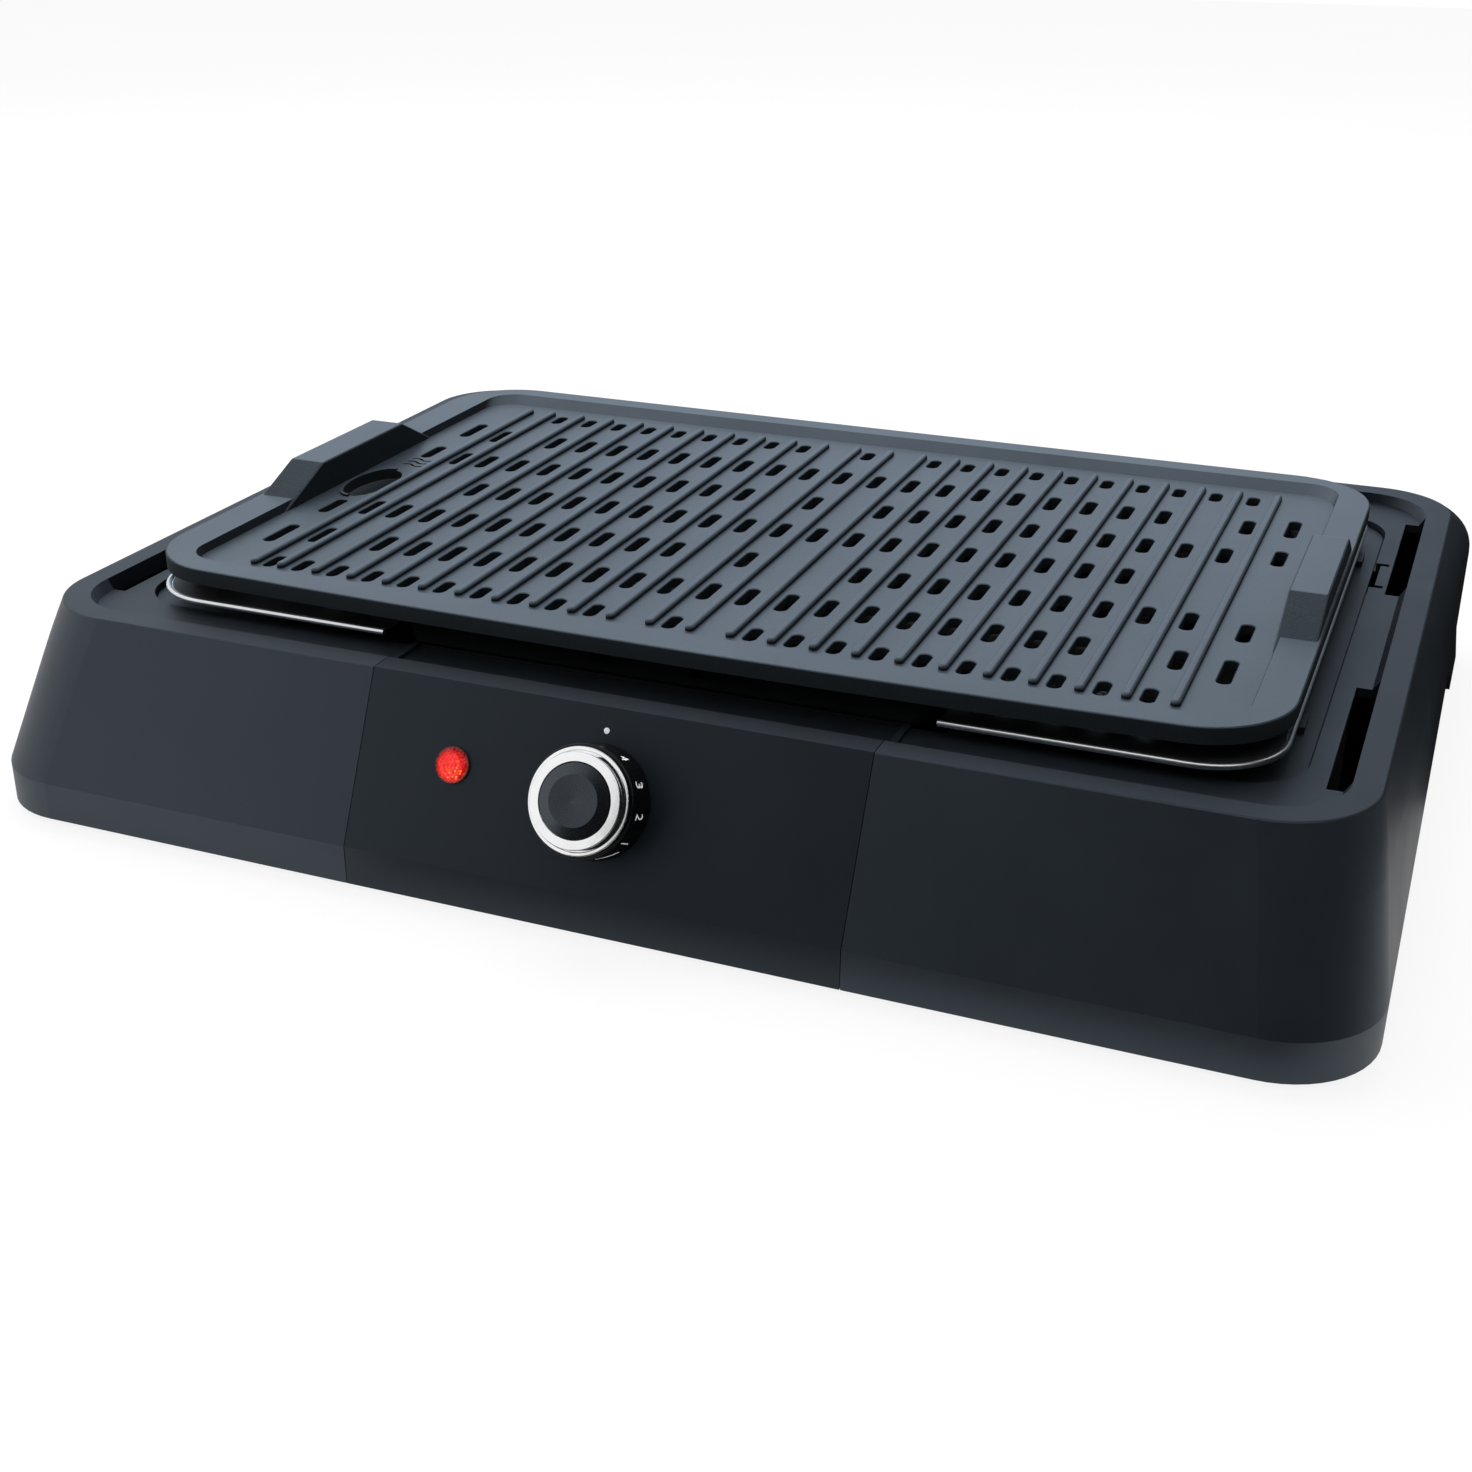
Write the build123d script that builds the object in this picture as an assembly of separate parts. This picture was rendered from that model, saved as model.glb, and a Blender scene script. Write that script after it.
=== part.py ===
from build123d import *
import math
import os

os.makedirs("parts", exist_ok=True)

# Table-top electric grill, all sizes in millimetres.
# Heights are written from the bottom edge of the housing and depths from the middle of its rim.
# place() moves each piece to the final frame: origin on the table, under the middle of the whole footprint.
foot_height = 2.0
origin_shift_y = 5.9

# Clearances and wall thicknesses shared by several pieces
lift_gap = 0.3
contact_gap = 0.1
screw_gap = 0.1
shaft_gap = 0.05
wall = 3.0
deck_thickness = 3.5
sheet = 0.8

# Housing: rim outline, and how far the shoulder, the crease and the bottom edge stand out beyond it.
# The side walls lean at the front like the sloped front and stand nearly upright at the rear.
rim_half_x = 260.0
rim_half_y = 182.8
rim_width = 10.3
rim_top_z = 76.3
rim_edge_r = 0.9
rim_inner_r = 27.0
front_corner_r = 36.0
rear_corner_r = 33.0
shoulder_drop = 23.3
shoulder_side = 10.4
shoulder_back = 22.7
crease_z = 15.4
crease_front_side = 12.4
crease_rear_side = 9.8
crease_ahead = 30.0
crease_back = 25.2
bottom_front_side = 12.4
bottom_rear_side = 9.6
bottom_ahead = 30.2
bottom_back = 25.7
loft_steps = 6

# Deck sunk inside the rim, and the recess in it that carries the tray
deck_drop = 4.3
rim_draft = 2.6
side_deck = 15.2
front_deck = 22.5
rear_deck = 23.5
recess_corner_r = 24.0
recess_depth = 2.5
recess_groove = 0.9
recess_groove_depth = 1.2
ledge_thickness = 2.5
ledge_overlap = 2.5
well_clearance = 9.0
deck_slot_width = 8.2
deck_slot_margin = 28.0
front_slot_length = 90.0
rear_slot_length = 96.0
clip_cut_offset = 7.9
clip_cut_reach = 6.4
clip_cut_behind = 7.0
clip_cut_length = 31.0
clip_cut_width = 3.0
pad_length = 12.0
pad_width = 5.0
pad_inset_x = 67.5
pad_inset_y = 52.0

# Heel on each side near the rear, where the base band flares out
heel_front_y = 133.0
heel_corner = 12.0
heel_proud = 2.2
heel_root = 0.8

# Cord outlet in the bottom edge of the rear wall, in line with the gland
outlet_width = 14.0
outlet_height = 12.0

# Floor, its screws and the feet
floor_bottom_z = 3.0
floor_thickness = 2.5
floor_edge_gap = 0.6
floor_vent_length = 60.0
floor_vent_width = 4.0
floor_vent_pitch = 14.0
floor_vent_count = 13
floor_vent_row_y = 55.0
boss_d = 9.0
boss_outset_x = 7.5
boss_outset_y = 13.0
boss_from_seam = 42.2
foot_d = 20.0
foot_peg_d = 7.0
foot_peg_head_d = 9.0
foot_peg_head_h = 2.0
foot_inset_x = 35.0
foot_inset_rear = 32.8
foot_inset_front = 22.8

# Screws: head diameter, head height, shank diameter, length
floor_screw = (8.0, 2.4, 4.0, 14.0)
cover_screw = (6.5, 2.0, 3.4, 12.0)
small_screw = (5.5, 1.6, 2.8, 8.0)
recess_share = 0.45

# Drip tray: gaps to the recess around it, then its own sizes
tray_side_gap = 7.2
tray_front_over = 5.0
tray_rear_gap = 5.0
tray_corner_r = 30.0
tray_rise = 5.4
lip_d = 2.4
lip_drop = 0.2
flange_width_x = 27.3
flange_width_y = 35.0
well_corner_r = 30.0
well_draft = 10.0
well_floor_corner_r = 22.0
well_floor_z = 28.0
tray_gate_gap = 1.5
tray_gate_depth = 3.5

# Control unit: the middle of the front, between the seams
seam_half_x = 97.8
panel_reach = 22.4
panel_deck_thickness = 2.5
panel_side_wall = 2.5
box_bottom_z = 8.5
cover_thickness = 2.0
cover_side_gap = 0.2
cover_boss = 10.0
cover_boss_length = 14.0
cover_screw_low = 12.5
cover_screw_drop = 15.0
lead_hole_margin = 2.0
lead_hole_depth = 6.0
channel_wall = 2.5
unit_rear_gap = 2.6

# Bridge block over the front edge of the tray
bridge_lap = 1.0
bridge_depth = 41.0
bridge_height = 10.3
bridge_lip = 1.4
bridge_lip_width = 2.4
bridge_slope_run = 14.0
bridge_wing = 11.8
bridge_wing_run = 13.0
bridge_wing_r = 6.0
bridge_pocket_half_x = 56.0
bridge_roof = 2.3
notch_inner_x = 12.9
notch_outer_x = 26.3
notch_floor = 3.5
notch_run = 12.4
bridge_screw_inset = 13.8
bridge_screw_run = 16.0

# Heating element and what holds it
tube_d = 6.5
leg_x = 20.0
leg_clear = 0.15
leg_in_bridge = 19.0
leg_out = 12.0
leg_to_row = 24.0
element_drop = 21.4
element_side_gap = 14.0
element_rear_gap = 34.0
element_inner_x = 30.0
element_row_count = 4
drop_r = 8.0
pin_d = 3.0
pin_length = 7.0
bead_d = 6.0
bead_length = 4.0
flange_half_x = 34.0
flange_margin = 1.25
flange_thickness = 1.5
flange_screw_x = 28.5
strap_inset = 29.0
strap_width = 9.0
strap_thickness = 1.4
strap_wall_gap = 8.0
strap_tab_inset = 20.5
strap_tab_lift = 0.3

# Knob, thermostat and lamp: distances down the front slope from the outer edge of the rim
knob_down = 34.0
knob_gap = 0.5
skirt_d = 42.0
skirt_top_d = 40.6
skirt_height = 14.0
skirt_edge_r = 0.4
skirt_wall = 2.2
ring_outer_d = 38.4
ring_step_d = 34.4
ring_inner_d = 27.2
ring_seat = 12.6
ring_top = 18.5
ring_step_top = 15.6
ring_groove = 0.5
ring_edge_r = 0.3
cap_d = 26.8
cap_shoulder = 18.6
cap_top = 19.8
cap_flat_d = 18.6
cap_dish = 0.2
hub_d = 11.0
shaft_d = 6.0
shaft_flat = 1.4
shaft_depth = 14.0
shaft_reach = 11.5
panel_hole_d = 9.0
thermostat_d = 34.0
thermostat_length = 22.0
thermostat_tab_length = 46.0
thermostat_tab_width = 12.0
thermostat_tab = 1.6
thermostat_screw_x = 15.6
blade_width = 6.3
blade_thickness = 0.8
blade_length = 8.0
blade_x = 8.0
lamp_x = -58.5
lamp_down = 30.5
lens_d = 13.5
lens_flange = 1.0
lens_facets = 8
lens_crown_d = 12.9
lens_taper = 45.0
lens_height = 2.6
lens_stem_d = 11.0
lens_stem_length = 6.0
holder_d = 10.0
holder_length = 16.0
clip_outer_d = 18.0
clip_thickness = 1.2
clip_slits = 3

# Terminal block, fuse, leads and gland inside the control box
block_x = 40.0
block_behind_rim = 22.8
block_length = 36.0
block_width = 18.0
block_height = 15.0
block_step = 4.0
block_pole_pitch = 11.0
block_screw_d = 4.0
fuse_d = 5.0
fuse_length = 14.0
fuse_edge_r = 0.8
fuse_x = 38.0
fuse_to_wall = 12.0
lead_d = 2.2
lead_bend_r = 4.0
lead_stub = 8.0
lead_run = 7.0
lead_cross_drop = 12.0
lead_floor_rise = 3.3
lamp_lead_x = 2.5
lamp_rise_x = 31.0
gland_x = 60.0
gland_rise = 15.5
gland_d = 12.0
gland_flange_d = 17.0
gland_flange = 2.0
gland_reach = 7.0
gland_bore_d = 7.2
gland_chamfer = 0.8

# Grill plate: overhang over the tray, widths of its rim, then ribs, slots, drain, grips and feet
plate_shift = -1.2
plate_end_over = 1.4
plate_front_inset = 3.8
plate_rear_inset = 3.0
plate_front_bow = 5.4
plate_corner_r = 35.0
plate_over_bridge = 0.6
plate_edge = 6.4
plate_edge_r = 0.8
plate_end_land = 15.7
plate_front_land = 10.2
plate_rear_land = 11.0
pocket_corner_r = 14.0
pocket_depth = 3.5
pocket_side_draft = 1.0
pocket_rear_draft = 7.0
plate_thickness = 4.0
plate_wall = 4.0
rib_pitch = 16.4
rib_margin = 14.0
rib_centre_x = -2.4
rib_shift = 1.0
rib_end_left = 26.8
rib_end_right = 25.2
rib_width = 3.5
rib_height = 2.1
rib_front_gap = 10.0
rib_rear_gap = 17.0
rib_round = 1.2
slot_width = 5.2
slot_length = 19.0
slot_chamfer = 0.35
slot_row_pitch = 39.4
slot_row_shift = -0.6
front_row_gap = 16.5
front_row_length = 13.0
rear_row_gap = 25.0
rear_row_length = 12.5
end_slot_left = 33.0
end_slot_right = 31.8
outer_slot_left = 15.4
outer_slot_right = 13.4
outer_slot_length = 23.0
outer_slot_spread = 4.4
drain_inset = 14.5
drain_y = -19.5
drain_length = 40.0
drain_width = 19.0
drain_collar = 1.6
drain_collar_h = 0.9
groove_count = 3
groove_wave = 1.2
groove_width = 1.3
groove_depth = 0.8
groove_behind = 30.5
groove_pitch = 4.4
groove_offset = 2.5
groove_half = 5.0
grip_lap = 1.5
grip_edge = 1.2
grip_rise = 9.9
grip_top_front = -38.0
grip_top_rear = 30.0
grip_base_front = -62.0
grip_base_rear = 48.0
grip_knee = 3.0
grip_round = 0.9
plate_foot_inset = 16.7
plate_foot_width = 14.0
plate_foot_front_inset = 22.2
plate_foot_rear_inset = 23.0
plate_foot_length = 16.0
plate_foot_draft = 2.0

# Housing values worked out from the ones above
shoulder_z = rim_top_z - shoulder_drop
crease_front = rim_half_y + crease_ahead
bottom_front = rim_half_y + bottom_ahead
bottom_rear = rim_half_y + bottom_back
front_run = crease_ahead / (rim_top_z - crease_z)
front_angle = math.degrees(math.atan(front_run))
front_normal = (0.0, -math.cos(math.radians(front_angle)), math.sin(math.radians(front_angle)))
wall_run = wall / math.cos(math.radians(front_angle))
rim_inner_half_x = rim_half_x - rim_width
rim_inner_half_y = rim_half_y - rim_width
floor_top_z = floor_bottom_z + floor_thickness

# Deck, recess and tray, from the rim inwards
deck_z = rim_top_z - deck_drop
deck_bottom_z = deck_z - deck_thickness
recess_half_x = rim_inner_half_x - side_deck
recess_front = rim_inner_half_y - front_deck
recess_rear = rim_inner_half_y - rear_deck
recess_floor_z = deck_z - recess_depth
ledge_bottom_z = recess_floor_z - ledge_thickness
slot_inner_x = rim_inner_half_x - deck_slot_width
front_slot_start = deck_slot_margin - rim_inner_half_y
rear_slot_start = rim_inner_half_y - deck_slot_margin - rear_slot_length
tray_half_x = recess_half_x - tray_side_gap
tray_front = recess_front + tray_front_over
tray_rear = recess_rear - tray_rear_gap
tray_flange_z = deck_z + tray_rise
tray_bottom_z = tray_flange_z - sheet
lip_z = tray_flange_z - lip_drop
tray_underside_z = lip_z - lip_d / 2
well_half_x = tray_half_x - flange_width_x
well_half_y = tray_front - flange_width_y
well_floor_half_x = well_half_x - well_draft
well_floor_half_y = well_half_y - well_draft
opening_half_x = well_half_x + well_clearance
opening_half_y = well_half_y + well_clearance
opening_corner_r = well_corner_r + well_clearance / 2

# Control unit and bridge, from the seams and the front of the recess
half_panel = seam_half_x - lift_gap / 2
half_channel = seam_half_x + lift_gap / 2
panel_rear_y = panel_reach - recess_front
panel_deck_bottom_z = deck_z - panel_deck_thickness
cover_rear_y = panel_rear_y - cover_thickness
cover_half_x = half_panel - panel_side_wall - cover_side_gap
cover_screw_heights = (box_bottom_z + cover_screw_low, deck_z - cover_screw_drop)
gland_z = box_bottom_z + gland_rise
bridge_front_y = -recess_front - bridge_lap
bridge_rear_y = bridge_front_y + bridge_depth
bridge_top_z = deck_z + bridge_height
bridge_wing_half_x = seam_half_x + bridge_wing
bridge_pocket_front_y = bridge_front_y + bridge_slope_run
bridge_pocket_rear_y = bridge_rear_y - wall
tray_gate_half_x = bridge_wing_half_x + tray_gate_gap
tray_gate_z = panel_deck_bottom_z - tray_gate_depth
block_y = block_behind_rim - rim_half_y
fuse_y = bridge_pocket_rear_y - fuse_to_wall

# Element and straps, from the bridge, the well and the flange of the tray
leg_z = deck_z + leg_clear + tube_d / 2
leg_start_y = bridge_rear_y - leg_in_bridge
leg_drop_y = bridge_rear_y + leg_out
pin_front_y = leg_start_y - pin_length
element_z = tray_flange_z - element_drop
element_half_x = well_floor_half_x - element_side_gap
first_row_y = leg_drop_y + leg_to_row
row_step = (well_floor_half_y - element_rear_gap - first_row_y) / (element_row_count - 1)
element_rows = [first_row_y + i * row_step for i in range(element_row_count)]
flange_height = tube_d + 2 * flange_margin
strap_x = element_half_x - strap_inset
strap_half_y = well_half_y - strap_wall_gap
strap_tab_y = tray_front - strap_tab_inset

# Grill plate, from the tray and the top of the bridge
plate_half_x = tray_half_x + plate_end_over
plate_front = tray_front - plate_front_inset
plate_rear = tray_rear - plate_rear_inset
plate_bottom_z = bridge_top_z + plate_over_bridge
plate_floor_z = plate_bottom_z + plate_thickness
plate_top_z = plate_floor_z + pocket_depth
pocket_half_x = plate_half_x - plate_end_land
pocket_front = plate_front - plate_front_land
pocket_rear = plate_rear - plate_rear_land
rib_front = rib_front_gap - pocket_front
rib_rear = pocket_rear - rib_rear_gap
rib_count = 2 * int((pocket_half_x - rib_margin) / rib_pitch)
last_column = rib_count // 2 - 1
front_row_y = front_row_gap - pocket_front
rear_row_y = pocket_rear - rear_row_gap
middle_row_y = (front_row_y + rear_row_y) / 2 + slot_row_shift
inner_rows = int(((rear_row_y - front_row_y) / 2 - slot_length) / slot_row_pitch)
drain_x = drain_inset - pocket_half_x
groove_x = drain_x + groove_offset
groove_first_y = drain_y + groove_behind
grip_top_z = plate_top_z + grip_rise
plate_foot_x = plate_half_x - plate_foot_inset

# Places of bosses and feet
boss_side_x = recess_half_x + boss_outset_x
boss_end_x = seam_half_x + boss_from_seam
boss_points = [(side * boss_side_x, 0.0) for side in (-1, 1)]
for side in (-1, 1):
    boss_points += [(side * boss_end_x, -recess_front - boss_outset_y)]
    boss_points += [(side * boss_end_x, recess_rear + boss_outset_y)]
foot_x = rim_half_x - foot_inset_x
foot_points = [(side * foot_x, y) for side in (-1, 1)
               for y in (foot_inset_front - rim_half_y, rim_half_y - foot_inset_rear)]


def place(shape):
    """Moves a piece from the working frame to the final frame."""
    return Pos(0, origin_shift_y, foot_height) * shape


def box(x0, x1, y0, y1, z0, z1):
    """Block between two corners."""
    return Pos((x0 + x1) / 2, (y0 + y1) / 2, (z0 + z1) / 2) * Box(x1 - x0, y1 - y0, z1 - z0)


def tapered(front_half, rear_half, front, rear, r_front, r_rear):
    """Rounded outline from y = -front to y = rear, with its own half width at each end."""
    corners = [(-front_half, -front), (front_half, -front), (rear_half, rear), (-rear_half, rear)]
    face = make_face(Polyline(*corners, close=True))
    face = fillet(face.vertices().sort_by(Axis.Y)[:2], r_front)
    return fillet(face.vertices().sort_by(Axis.Y)[-2:], r_rear)


def outline(half_x, front, rear, r_front, r_rear):
    """Rounded rectangle from y = -front to y = rear."""
    return tapered(half_x, half_x, front, rear, r_front, r_rear)


def slab(face, z0, z1):
    """Upright prism on a flat outline."""
    return extrude(Pos(0, 0, z0) * face, amount=z1 - z0, dir=(0, 0, 1))


def slope_plane(x, down):
    """Plane on the front slope: x across, y up the slope, z out of it."""
    length = math.hypot(rim_top_z - crease_z, crease_front - rim_half_y)
    share = down / length
    y = -rim_half_y - share * (crease_front - rim_half_y)
    z = rim_top_z - share * (rim_top_z - crease_z)
    return Plane(origin=(x, y, z), x_dir=(1, 0, 0), z_dir=front_normal)


def disc(d, z0, z1):
    """Upright cylinder between two heights."""
    return Pos(0, 0, (z0 + z1) / 2) * Cylinder(d / 2, z1 - z0)


def turned(points):
    """Solid of revolution about Z from a half profile of (radius, height)."""
    profile = make_face(Polyline(*[(r, 0, z) for r, z in points], close=True))
    return revolve(profile, axis=Axis.Z)


def screw(size):
    """Pan-head screw with a cross recess: seat at z = 0, head above, shank below."""
    head_d, head_h, shank_d, length = size
    head = disc(head_d, 0, head_h)
    head = fillet(head.edges().sort_by(Axis.Z)[-1:], head_h * recess_share)
    cross = Box(head_d / 2, shank_d / 4, head_h) + Box(shank_d / 4, head_d / 2, head_h)
    shank = disc(shank_d, -length, 0)
    shank = chamfer(shank.edges().sort_by(Axis.Z)[:1], shank_d / 4)
    return head + shank - Pos(0, 0, head_h) * cross


def spread(shape, places):
    """Copies of one shape as a group of separate solids."""
    return Compound(children=[loc * shape for loc in places])


def housing_section(z, inset):
    """Outline of the housing above the crease at one height, drawn in by inset."""
    low = min(1.0, (z - crease_z) / (shoulder_z - crease_z))
    high = max(0.0, (z - shoulder_z) / shoulder_drop)
    fall = (rim_top_z - z) / (rim_top_z - crease_z)
    side = crease_rear_side + low * (shoulder_side - crease_rear_side) - shoulder_side * high ** 2
    back = crease_back + low * (shoulder_back - crease_back) - shoulder_back * high ** 2
    front_half = rim_half_x + crease_front_side * fall - inset
    front = rim_half_y + crease_ahead * fall - inset
    face = tapered(front_half, rim_half_x + side - inset, front, rim_half_y + back - inset,
                   front_corner_r - inset, rear_corner_r - inset)
    return Pos(0, 0, z) * face


def bottom_outline(inset):
    """Outline of the bottom edge of the housing, drawn in by inset."""
    return tapered(rim_half_x + bottom_front_side - inset, rim_half_x + bottom_rear_side - inset,
                   bottom_front - inset, bottom_rear - inset, front_corner_r - inset, rear_corner_r - inset)


def housing_body(inset, top_z):
    """Solid inside the housing's outer surface, drawn in by inset and cut off at top_z."""
    heights = [shoulder_z + (top_z - shoulder_z) * i / loft_steps for i in range(loft_steps + 1)]
    upper = loft([housing_section(z, inset) for z in heights])
    lower = loft([housing_section(crease_z, inset), housing_section(shoulder_z, inset)], ruled=True)
    band = loft([bottom_outline(inset), housing_section(crease_z, inset)], ruled=True)
    return upper + lower + band


def rim_mouth():
    """Space above the deck inside the rim, whose side walls lean outwards."""
    top = outline(rim_inner_half_x, rim_inner_half_y, rim_inner_half_y, rim_inner_r, rim_inner_r)
    foot = outline(rim_inner_half_x - rim_draft, rim_inner_half_y, rim_inner_half_y, rim_inner_r, rim_inner_r)
    lean = loft([Pos(0, 0, deck_z) * foot, Pos(0, 0, rim_top_z) * top], ruled=True)
    return lean + slab(top, rim_top_z, rim_top_z + wall)


def deck_shape():
    """Deck inside the rim with its recess, the groove at the foot of the recess and the tray opening."""
    blank = outline(rim_inner_half_x + wall, rim_inner_half_y + wall, rim_inner_half_y + wall,
                    rim_inner_r + wall, rim_inner_r + wall)
    recess = outline(recess_half_x, recess_front, recess_rear, recess_corner_r, recess_corner_r)
    ledge = outline(recess_half_x + ledge_overlap, recess_front + ledge_overlap, recess_rear + ledge_overlap,
                    recess_corner_r, recess_corner_r)
    hole = outline(opening_half_x, opening_half_y, opening_half_y, opening_corner_r, opening_corner_r)
    inner_r = recess_corner_r - recess_groove
    inner = outline(recess_half_x - recess_groove, recess_front - recess_groove, recess_rear - recess_groove,
                    inner_r, inner_r)
    deck = slab(blank, deck_bottom_z, rim_top_z - wall) - slab(recess, ledge_bottom_z, deck_z + wall)
    deck = deck + slab(ledge, ledge_bottom_z, recess_floor_z) - slab(hole, 0, rim_top_z)
    deck = deck - slab(recess - inner, recess_floor_z - recess_groove_depth, deck_z)
    for pad in tray_pads():
        deck = deck + pad
    return deck


def tray_pads():
    """Small pads on the recess floor that carry the lip of the tray."""
    height = tray_underside_z - lift_gap
    pads = []
    for side in (-1, 1):
        lip_x = side * (tray_half_x - lip_d / 2)
        for at_y in (pad_inset_y - tray_rear, tray_rear - pad_inset_y):
            pads.append(box(lip_x - pad_width / 2, lip_x + pad_width / 2, at_y - pad_length / 2,
                            at_y + pad_length / 2, ledge_bottom_z, height))
        for lip_y in (-tray_front + lip_d / 2, tray_rear - lip_d / 2):
            at_x = side * (tray_half_x - pad_inset_x)
            pads.append(box(at_x - pad_length / 2, at_x + pad_length / 2, lip_y - pad_width / 2,
                            lip_y + pad_width / 2, ledge_bottom_z, height))
    return pads


def deck_slots():
    """Through slots along the side rims."""
    cuts = []
    for side in (-1, 1):
        inner = side * slot_inner_x
        outer = side * rim_inner_half_x
        for start, length in ((front_slot_start, front_slot_length), (rear_slot_start, rear_slot_length)):
            end = start + length
            cuts.append(box(min(inner, outer), max(inner, outer), start, end, 0, rim_top_z + wall))
    return cuts


def clip_cut():
    """C-shaped cut that frees a snap tongue beside the right rear slot."""
    x0 = slot_inner_x - clip_cut_offset
    x1 = x0 + clip_cut_reach
    y0 = rear_slot_start + clip_cut_behind
    y1 = y0 + clip_cut_length
    back = box(x0, x0 + clip_cut_width, y0, y1, 0, deck_z + lift_gap)
    front_arm = box(x0, x1, y0, y0 + clip_cut_width, 0, deck_z + lift_gap)
    rear_arm = box(x0, x1, y1 - clip_cut_width, y1, 0, deck_z + lift_gap)
    return [back, front_arm, rear_arm]


def heel(side):
    """Flare of the base band on one side near the rear, cut off square at its front end."""
    flush = rim_half_x + bottom_rear_side
    tip = side * (flush + heel_proud)
    root = side * (flush - wall * heel_root)
    corner_y = bottom_rear - rear_corner_r
    end_y = corner_y + heel_corner
    plan = [(root, heel_front_y), (tip, heel_front_y), (tip, corner_y), (root, end_y)]
    rise = [(root, 0), (tip, 0), (side * flush, crease_z), (root, crease_z)]
    rise_face = make_face(Polyline(*[(x, heel_front_y, z) for x, z in rise], close=True))
    flare = extrude(rise_face, amount=end_y - heel_front_y, dir=(0, 1, 0))
    return flare & slab(make_face(Polyline(*plan, close=True)), 0, crease_z)


def channel_space():
    """Space at the front that the control unit is lifted out of."""
    front = box(-half_channel, half_channel, -bottom_front - wall, -recess_front + ledge_overlap, -wall,
                rim_top_z + wall)
    rear_half = bridge_wing_half_x + unit_rear_gap
    return front + box(-rear_half, rear_half, -recess_front - lift_gap, -opening_half_y + wall, -wall,
                       rim_top_z + wall)


def channel_walls(inside):
    """Cheeks of the housing on both sides of the control unit."""
    walls = []
    for side in (-1, 1):
        inner = side * half_channel
        outer = side * (half_channel + channel_wall)
        cheek = box(min(inner, outer), max(inner, outer), -bottom_front, -recess_front - lift_gap,
                    floor_top_z + lift_gap, rim_top_z - wall)
        walls.append(cheek & inside)
    return walls


def floor_bosses():
    """Posts under the deck that take the floor screws."""
    posts = []
    for x, y in boss_points:
        posts.append(Pos(x, y, 0) * disc(boss_d, floor_top_z + contact_gap, deck_z - deck_thickness / 2))
    return posts


def base_housing():
    """Moulded frame with rim, sloped front, deck and tray recess."""
    outer = housing_body(0, rim_top_z)
    rim_edges = outer.edges().filter_by_position(Axis.Z, rim_top_z - lift_gap, rim_top_z + lift_gap)
    outer = fillet(rim_edges, rim_edge_r)
    inside = housing_body(wall, rim_top_z - wall)
    mouth = rim_mouth()
    shell = outer - inside
    shell = shell - mouth
    shell = shell + deck_shape() - mouth
    for post in floor_bosses():
        shell = shell + post
    shell = shell - channel_space()
    for cheek in channel_walls(inside):
        shell = shell + cheek
    for cut in deck_slots() + clip_cut():
        shell = shell - cut
    for side in (-1, 1):
        shell = shell + heel(side)
    pilot_d = floor_screw[2] + 2 * screw_gap
    for x, y in boss_points:
        shell = shell - Pos(x, y, 0) * disc(pilot_d, 0, floor_bottom_z + floor_screw[3] + screw_gap)
    outlet = box(gland_x - outlet_width / 2, gland_x + outlet_width / 2, bottom_rear - 2 * wall,
                 bottom_rear + wall, -wall, outlet_height)
    return shell - outlet


def base_floor():
    """Bottom plate with vents, screw holes and foot holes."""
    plate = slab(bottom_outline(wall + floor_edge_gap), floor_bottom_z, floor_top_z)
    cuts = []
    for x, y in boss_points:
        cuts.append(Pos(x, y, 0) * disc(floor_screw[2] + 2 * screw_gap, 0, floor_top_z + wall))
    for x, y in foot_points:
        cuts.append(Pos(x, y, 0) * disc(foot_peg_d + 2 * screw_gap, 0, floor_top_z + wall))
    vent = slab(SlotOverall(floor_vent_length, floor_vent_width, rotation=90), 0, floor_top_z + wall)
    for i in range(floor_vent_count):
        x = (i - (floor_vent_count - 1) / 2) * floor_vent_pitch
        for y in (-floor_vent_row_y, floor_vent_row_y):
            cuts.append(Pos(x, y, 0) * vent)
    return plate - cuts


def rubber_feet():
    """Feet with a plug that snaps through the floor."""
    pad = fillet(disc(foot_d, -foot_height, floor_bottom_z).edges().sort_by(Axis.Z)[:1], foot_height / 2)
    peg = disc(foot_peg_d, floor_bottom_z, floor_top_z + contact_gap)
    head = disc(foot_peg_head_d, floor_top_z + contact_gap, floor_top_z + contact_gap + foot_peg_head_h)
    head = chamfer(head.edges().sort_by(Axis.Z)[-1:], (foot_peg_head_d - foot_peg_d) / 2)
    return spread(pad + peg + head, [Pos(x, y, 0) for x, y in foot_points])


def floor_screws():
    """Screws driven up through the floor."""
    return spread(screw(floor_screw), [Pos(x, y, floor_bottom_z) * Rot(180, 0, 0) for x, y in boss_points])


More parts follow.
